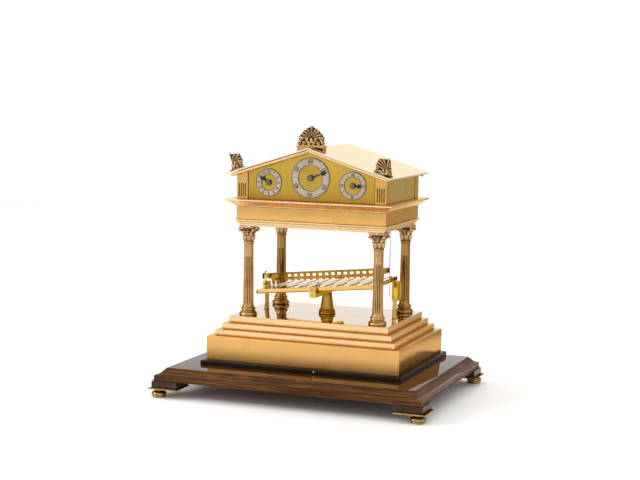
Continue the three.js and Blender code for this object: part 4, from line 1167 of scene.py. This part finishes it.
# ------------------------------------------------------------------ hands
for n, ang, length, tip, arb in (("hour", 302, 15.0, 3.0, 1.6), ("minute", 69, 26.0, 3.5, 2.2), ("seconds", 93, 13.6, 2.9, 1.6)):
    x, z = DIALS[n][0], DIALS[n][1]
    a = math.radians(ang)
    d = (sin(a), cos(a)); s = (cos(a), -sin(a))
    boss = 4.1 if n != "minute" else 4.6

    def P(u, w):
        return (x + d[0] * u + s[0] * w, z + d[1] * u + s[1] * w)
    st = spline([(boss * 0.85, 1.35), (boss * 1.2, 1.15), (length - tip * 2.5, 0.8)], 3)
    sp = spline([(length - tip * 2.35, 0.85), (length - tip * 2.05, tip * 0.80), (length - tip * 1.55, tip * 1.0), (length - tip * 0.9, tip * 0.74), (length - tip * 0.35, tip * 0.24), (length, 0.0)], 4)
    up = st + sp
    pts = [P(u, w) for u, w in up] + [P(u, -w) for u, w in reversed(up[:-1])]
    m = M().add(plate(pts, -77.55, -76.85))
    v, f = lathe_ring([(boss * 0.52, -77.6), (boss * 0.9, -77.7), (boss, -77.4), (boss, -76.8), (boss * 0.52, -76.8)], 48)
    m.add((v, f), about_y(x, z))
    v, f = lathe([(0, -76.7), (arb + 0.4, -76.7), (arb + 0.4, -76.9), (boss * 0.60, -76.9), (boss * 0.60, -77.2), (0, -77.2)], 32)
    m.add((v, f), about_y(x, z))
    v, f = lathe([(0, -34.7), (arb, -34.7), (arb, -76.75), (0, -76.75)], 24)
    m.add((v, f), about_y(x, z))
    make(m, "hand_blued_" + n, BLUED, body=n, nodes=(n + "_hand",), angle=30)
    v, f = lathe([(0, -77.1), (boss * 0.48, -77.1), (boss * 0.48, -77.75), (boss * 0.78, -77.85), (boss * 0.80, -78.1), (boss * 0.66, -78.35), (boss * 0.40, -78.45), (boss * 0.36, -78.7), (boss * 0.20, -78.9), (0, -78.95)], 36)
    make(M().add((v, f), about_y(x, z)), "hand_collet_" + n, COLLET, body=n, angle=40)

# ------------------------------------------------------------------ movement, seen only through the winding hole
for n in ("movement_front_plate", "movement_back_plate"):
    bevelled(n, n + "_finished", MOVE, 0.2, 1)
for n in ("hour_wheel", "centre_wheel", "seconds_wheel"):
    bevelled(n, n + "_finished", MOVE, 0.12, 1)
v, f = lathe([(0, -51.2), (3, -51.2), (3, -50.4), (13.8, -50.4), (14.2, -50.0), (14.2, -48.6), (13.6, -48.2), (13.6, -37.6), (14.2, -37.2), (14.2, -35.8), (13.8, -35.4), (3, -35.4), (3, -22), (2.2, -20), (2.2, -14), (0, -14)], 64)
make(M().add((v, f), about_y(-20, 186)), "barrel_turned", MOVE, body="barrel", nodes=("mainspring_barrel",), angle=35)
m = M()
v, f = lathe([(0, -10.8), (1.6, -10.8), (1.6, -8.4), (11.0, -8.4), (11.4, -8.0), (11.4, -6.0), (11.0, -5.6), (0, -5.6)], 64)
m.add((v, f), about_y(95.3, 188))
v, f = lathe([(0, -6.4), (1.3, -6.4), (1.3, 1.2), (1.1, 1.4), (0, 1.4)], 24)
m.add((v, f), about_y(95.3, 197.63))
make(m, "crank_turned", STEEL, body="crank", nodes=("crank_disc",), angle=35)
m = M().add(lathe([(0, 31), (0.65, 31), (0.8, 31.3), (0.8, 195.23), (0, 195.23)], 24, ROD_X, ROD_Y))
v, f = lathe_ring([(1.6, 2.0), (3.0, 2.0), (3.2, 2.2), (3.2, 4.2), (3.0, 4.4), (1.6, 4.4)], 40)
m.add((v, f), about_y(95.3, 197.63))
make(m, "rod_polished", STEEL, body="rod", nodes=("connecting_rod",), angle=35)

# ------------------------------------------------------------------ pillar and cradle
prof = [(0, 0.3), (11.6, 0.3), (12.3, 0.6), (12.6, 1.3), (12.6, 2.2), (12.2, 2.9), (11.5, 3.2), (11.3, 3.6), (11.4, 3.9), (11.9, 4.3), (12.1, 5.0), (12.0, 5.7), (11.4, 6.2)] + \
    spline([(10.8, 6.4), (10.2, 7.0), (9.8, 7.8), (9.6, 8.6)], 3) + spline([(9.45, 10.0), (9.1, 14), (8.3, 20), (7.5, 25.5), (7.1, 28.6)], 3) + [(7.4, 28.9), (7.6, 29.5), (7.4, 30.2), (6.9, 30.5), (6.9, 31), (0, 31)]
v, f = lathe(prof, 72)
# painted shade in the grooves of the turned pillar and at its top and foot
make(M().add((v, f, [0.55 if 3.0 < q[2] < 3.8 or 6.1 < q[2] < 7.4 or 28.4 < q[2] < 29.0 or q[2] > 30.3 or q[2] < 0.7 else 0.0 for q in v])), "pillar_turned", PILLAR, nodes=("central_pillar",), angle=38)
bevelled("cradle_bar", "cradle_finished", YELLOWB, 0.5, 3)


def screw(m, x, z, y, r, ang=0.6, h=0.9, s=-1):
    """A slotted screw head lying in the XZ plane, facing -Y (s=-1) or +Y."""
    prof = [(0, 0.05), (r * 0.95, 0.05), (r, 0.0 + h * 0.35), (r, h * 0.6), (r * 0.8, h * 0.92), (r * 0.3, h)]
    n, w = 28, r * 0.16
    v, f = lathe(prof + [(0, h)], n)
    m.add(([(a, s * c, b) for a, b, c in v], f), lambda a, c, b: (x + a, y + c, z + b))
    sl = block(-r * 0.96, h * 0.70, -w, r * 0.96, h * 1.03, w)
    # painted shade: the slot is painted dark
    m.add(([(a * cos(ang) - c * sin(ang), s * b, a * sin(ang) + c * cos(ang)) for a, b, c in sl[0]], sl[1], [1.0] * 8), lambda a, b, c: (x + a, y + b, z + c))


m = M()
for s in (-1, 1):
    v, f = lathe_ring([(2.0, s * 61.5), (3.1, s * 61.5), (3.1, s * 62.0), (2.8, s * 62.25), (2.0, s * 62.25)], 40)
    m.add((v, f), about_y(0, 42.7))
    screw(m, 0, 34.6, s * 61.5, 1.5, 0.9, 0.8, s)
make(m, "cradle_bushes_screws", SILVER, angle=35)

# ------------------------------------------------------------------ rocking table
RUNS = 17
turn = lambda k: (84 - 9.88 * k, 48.0 if k % 2 == 0 else -48.0)


def table():
    nx, ny = 456, 176
    X = np.linspace(-91, 91, nx)
    Y = np.linspace(-55, 55, ny)
    gx_, gy_ = np.meshgrid(X, Y, indexing="ij")
    dist = np.full(gx_.shape, 1e9)
    for k in range(RUNS):
        (xa, ya), (xb, yb) = turn(k), turn(k + 1)
        dx, dy = xb - xa, yb - ya
        s = np.clip(((gx_ - xa) * dx + (gy_ - ya) * dy) / (dx * dx + dy * dy), 0, 1)
        dist = np.minimum(dist, np.hypot(gx_ - xa - s * dx, gy_ - ya - s * dy))
    q = np.clip(dist / 2.75, 0, 1)
    depth = 1.6 * np.sqrt(np.clip(1 - q ** 2, 0, 1))
    lip = np.clip((3.15 - dist) / 0.4, 0, 1)
    depth = np.maximum(depth, 0.10 * lip)
    z = 3.1 - depth
    edge = np.minimum(np.minimum(gx_ + 91, 91 - gx_), np.minimum(gy_ + 55, 55 - gy_))
    z = np.where(edge < 0.3, z - 0.35, z)
    # painted shade: grooves painted darker with their depth
    cav = np.clip(depth / 1.6, 0, 1) ** 1.2
    v = [(float(gx_[i, j]), float(gy_[i, j]), float(z[i, j])) for i in range(nx) for j in range(ny)]
    c = [float(a) for a in cav.ravel()]
    f = []
    for i in range(nx - 1):
        for j in range(ny - 1):
            a = i * ny + j
            f.append([a, a + ny, a + ny + 1, a + 1])
    rim = [i * ny for i in range(nx)] + [(nx - 1) * ny + j for j in range(1, ny)] + [i * ny + ny - 1 for i in range(nx - 2, -1, -1)] + [j for j in range(ny - 2, 0, -1)]
    o = len(v)
    k = len(rim)
    for zz, ins in ((-2.8, 0.0), (-3.1, 0.3)):
        for r in rim:
            x, y, _ = v[r]
            v.append((x * (1 - ins / 91), y * (1 - ins / 55), zz))
            c.append(0.0)
    for i in range(k):
        j = (i + 1) % k
        f.append([rim[i], o + i, o + j, rim[j]])
        f.append([o + i, o + k + i, o + k + j, o + j])
    f.append([o + k + i for i in range(k)])
    return v, f, c


m = M().add(table())
for s in (-1, 1):
    v, f = lathe([(0, s * 54.0), (1.5, s * 54.0), (1.5, s * 61.4), (1.3, s * 61.8), (0, s * 61.8)], 24)
    m.add((v, f), about_y(0, 0))
ob = make(m, "table_grooved", TABLEB, body="table", nodes=("rocking_table",), angle=50, xf=T)
# the top faces take the pale copy: painted sheen
ob.data.materials.append(TABLE_TOP_SHEEN)
for p in ob.data.polygons:
    if p.normal.z > 0.2:
        p.material_index = 1

# ------------------------------------------------------------------ bridge
PITCH = 9.88
half = PITCH * RUNS / 2
w0, wt = 3.4, 20.0
pts = [(-100.6, wt), (-100.6, 17.6), (-97.4, 17.4), (-96.6, 15.6), (-93.8, 13.2), (-half - 5.0, 12.4), (-half - 3.6, w0 + 0.6), (-half - 3.2, w0), (-half - 1.3, w0), (-half - 0.9, w0 + 0.4), (-half - 0.4, 7.2)]
for i in range(RUNS):
    xc = -half + PITCH * (i + 0.5)
    pts.append((xc - 4.75, 8.2))
    for k in range(0, 9):
        a = pi - pi * k / 8
        pts.append((xc + 4.2 * cos(a), 8.5 + 1.6 * sin(a)))
    pts.append((xc + 4.75, 8.2))
pts += [(half + 0.4, 7.2), (half + 0.9, w0 + 0.4), (half + 1.3, w0), (half + 3.2, w0), (half + 3.6, w0 + 0.6), (half + 5.0, 12.4), (94.6, 13.2), (95.6, 14.6), (95.6, wt)]
holes = []
for i in range(RUNS):
    xc = -half + PITCH * (i + 0.5)
    holes.append(roundrect(xc - 3.3, 14.3, xc + 3.3, 18.3, 1.5, 3))
for i in range(1, RUNS):
    xc = -half + PITCH * i
    holes.append([(xc - 1.3, 12.3), (xc, 10.2), (xc + 1.3, 12.3)])
v, f = plate(pts, -1.5, 1.5, holes)
# painted shade: the scalloped band of the plate is painted dark and its top rail a little darker
m = M().add((v, f, [0.95 if 6.0 < p[2] < 11.9 else 0.25 if p[2] > 18.8 else 0.0 for p in v]))
make(m, "bridge_pierced", OLIVE, body="table", nodes=("bridge",), bevel=0.22, seg=2, xf=T)
band = [(-half - 3.0, 13.0), (-half - 2.0, 9.0)]
for i in range(RUNS):
    xc = -half + PITCH * (i + 0.5)
    band.append((xc - 4.7, 8.35))
    for k in range(0, 9):
        a = pi - pi * k / 8
        band.append((xc + 4.1 * cos(a), 8.65 + 1.55 * sin(a)))
    band.append((xc + 4.7, 8.35))
band += [(half + 2.0, 9.0), (half + 3.0, 13.0)]
m = M().add(plate(band, -1.68, 1.68, holes[RUNS:]))
make(m, "bridge_scallops", SCALL, body="table", bevel=0.08, seg=1, xf=T)
m = M()
m.add(rect([(98.0, 1.75, 19.5), (98.2, 1.75, 19.7), (98.2, 1.75, 21.0), (98.0, 1.55, 21.3)], -2.5, 0))
m.add(rect([(89.0, 1.75, 12.9), (89.0, 1.75, 13.6)], 0, 0))
for i in range(RUNS + 1):
    xc = -half + PITCH * i
    v, f = lathe([(0, -1.5), (0.72, -1.5), (0.66, -1.65), (0.4, -1.75), (0, -1.75)], 14)
    m.add((v, f), about_y(xc, 20.4 - 1.9))
    v, f = lathe([(0, 1.5), (0.72, 1.5), (0.66, 1.65), (0.4, 1.75), (0, 1.75)], 14)
    m.add((v, f), about_y(xc, 20.4 - 1.9))
hook = [(-98.6, 0, 21.0), (-98.9, 0, 22.4), (-98.5, 0, 23.7), (-97.5, 0, 24.4), (-96.4, 0, 24.1), (-95.9, 0, 23.2)]
m.add(tube(hook, [0.95, 0.9, 0.85, 0.8, 0.7, 0.6], 10))
make(m, "bridge_rails", OLIVE, body="table", bevel=0.15, seg=2, xf=T)
m = M()
m.add(block(-102.4, -2.3, 12.6, -100.75, 2.0, 21.2))
m.add(block(95.75, -2.3, 14.2, 97.4, 1.5, 21.8))
m.add(block(91.5, -1.9, 16.4, 95.5, 1.5, 17.5))
m.add(block(-98.8, -1.9, 15.0, -96.6, 1.5, 16.2))
make(m, "bridge_end_pads", BLACK, body="table", bevel=0.25, seg=2, xf=T)

bm_ = bmesh.new()
bmesh.ops.create_icosphere(bm_, subdivisions=5, radius=3.0)
(xa, ya), (xb, yb) = turn(8), turn(9)
tt = (-30 - ya) / (yb - ya)
bv = [(p.co.x + xa + (xb - xa) * tt, p.co.y - 30.0, p.co.z + 4.93) for p in bm_.verts]
bf = [[q.index for q in p.verts] for p in bm_.faces]
bm_.free()
make(M().add((bv, bf)), "ball_steel", STEEL, body="ball", nodes=("rolling_ball",), angle=80, xf=T)


# ------------------------------------------------------------------ side posts and levers
def post(x, top, r1, r2):
    return [(0, 0.3), (3.9, 0.3), (4.2, 0.6), (4.2, 1.0), (3.8, 1.3), (3.4, 1.8), (r1, 2.4), (r2, top), (0, top)]


m = M().add(lathe(post(-97, 33.3, 3.25, 3.2), 48, -97, 0))
make(m, "post_left_shaft", PILLAR, angle=38)
m = M().add(rect([(4.8, 5.0, 33.4), (4.8, 5.0, 42.6)], -97.6, 0))
ob = make(m, "post_left_block", YELLOWB, nodes=("left_post",), bevel=0.6, seg=3)
m = M().add(lathe(post(105, 26.4, 3.25, 3.2), 48, 105, 0))
make(m, "post_right_shaft", YELLOWB, angle=38)
ob = make(M().add(block(101.2, -4.6, 26.3, 110.2, 14.4, 54.0)), "post_right_frame", YELLOWB, nodes=("right_post",), angle=35)
boolean(ob, M().add(block(103.2, -6, 29, 108.2, -2.4, 51)))
boolean(ob, M().add(block(103.2, 12.2, 29, 108.2, 16, 51)))
boolean(ob, M().add(block(109.4, -1.6, 29, 112, 11.4, 51)))
md = ob.modifiers.new("bevel", "BEVEL")
md.width, md.segments, md.limit_method, md.angle_limit = 0.00045, 2, "ANGLE", math.radians(40)
m = M()
v, f = lathe([(0, 53.9), (1.9, 53.9), (2.0, 54.3), (1.8, 55.0), (1.0, 55.3), (0, 55.3)], 28)
m.add((v, f), lambda a, b, c: (105.7 + a, 1.0 + b, c))
screw(m, 105.7, 32.0, -2.4, 1.2, 0.4, 0.7)
screw(m, 105.7, 47.6, -10.1, 1.4, 0.9, 0.6)
make(m, "post_right_screws", SILVER, angle=35)


def knurled(m, x, z, y0, y1, r, n=28):
    v, f = [], []
    prof = [(0, y0), (r * 0.62, y0), (r * 0.80, y0 + 0.2), (r, y0 + 0.45), (r, y1 - 0.45), (r * 0.80, y1 - 0.2), (r * 0.62, y1), (0, y1)]
    v, f = lathe(prof, n * 2, radial=None)
    vv = []
    for k, (a, b, c) in enumerate(v):
        rr = math.hypot(a, b)
        if rr > r * 0.95:
            th = math.atan2(b, a)
            s = 1.0 - 0.055 * (0.5 + 0.5 * cos(n * th))
            a, b = a * s, b * s
        vv.append((a, b, c))
    m.add((vv, f), about_y(x, z))


for n, x, z, s in (("left", -97.6, 38.0, -1), ("right", 105.7, 47.6, 1)):
    m = M()
    v, f = lathe([(0, -6.0), (2.4, -6.0), (2.6, -6.2), (2.6, -9.6), (2.3, -10.0), (1.2, -10.2), (0, -10.2)], 32)
    m.add((v, f), about_y(x, z))
    arm = spline([(x + s * 1.3, z - 0.6), (x - s * 0.2, z + 6.0), (x - s * 2.6, z + 12.6)], 4) + spline([(x - s * 5.0, z + 13.0), (x - s * 2.6, z + 6.4), (x - s * 1.3, z)], 4)
    m.add(plate(arm, -9.4, -7.2))
    knurled(m, x - s * 3.9, z + 13.6, -9.9, -6.7, 2.1)
    make(m, "lever_%s_knurled" % n, YELLOWB, body=n + "_lever", nodes=(n + "_release_lever",), angle=30)
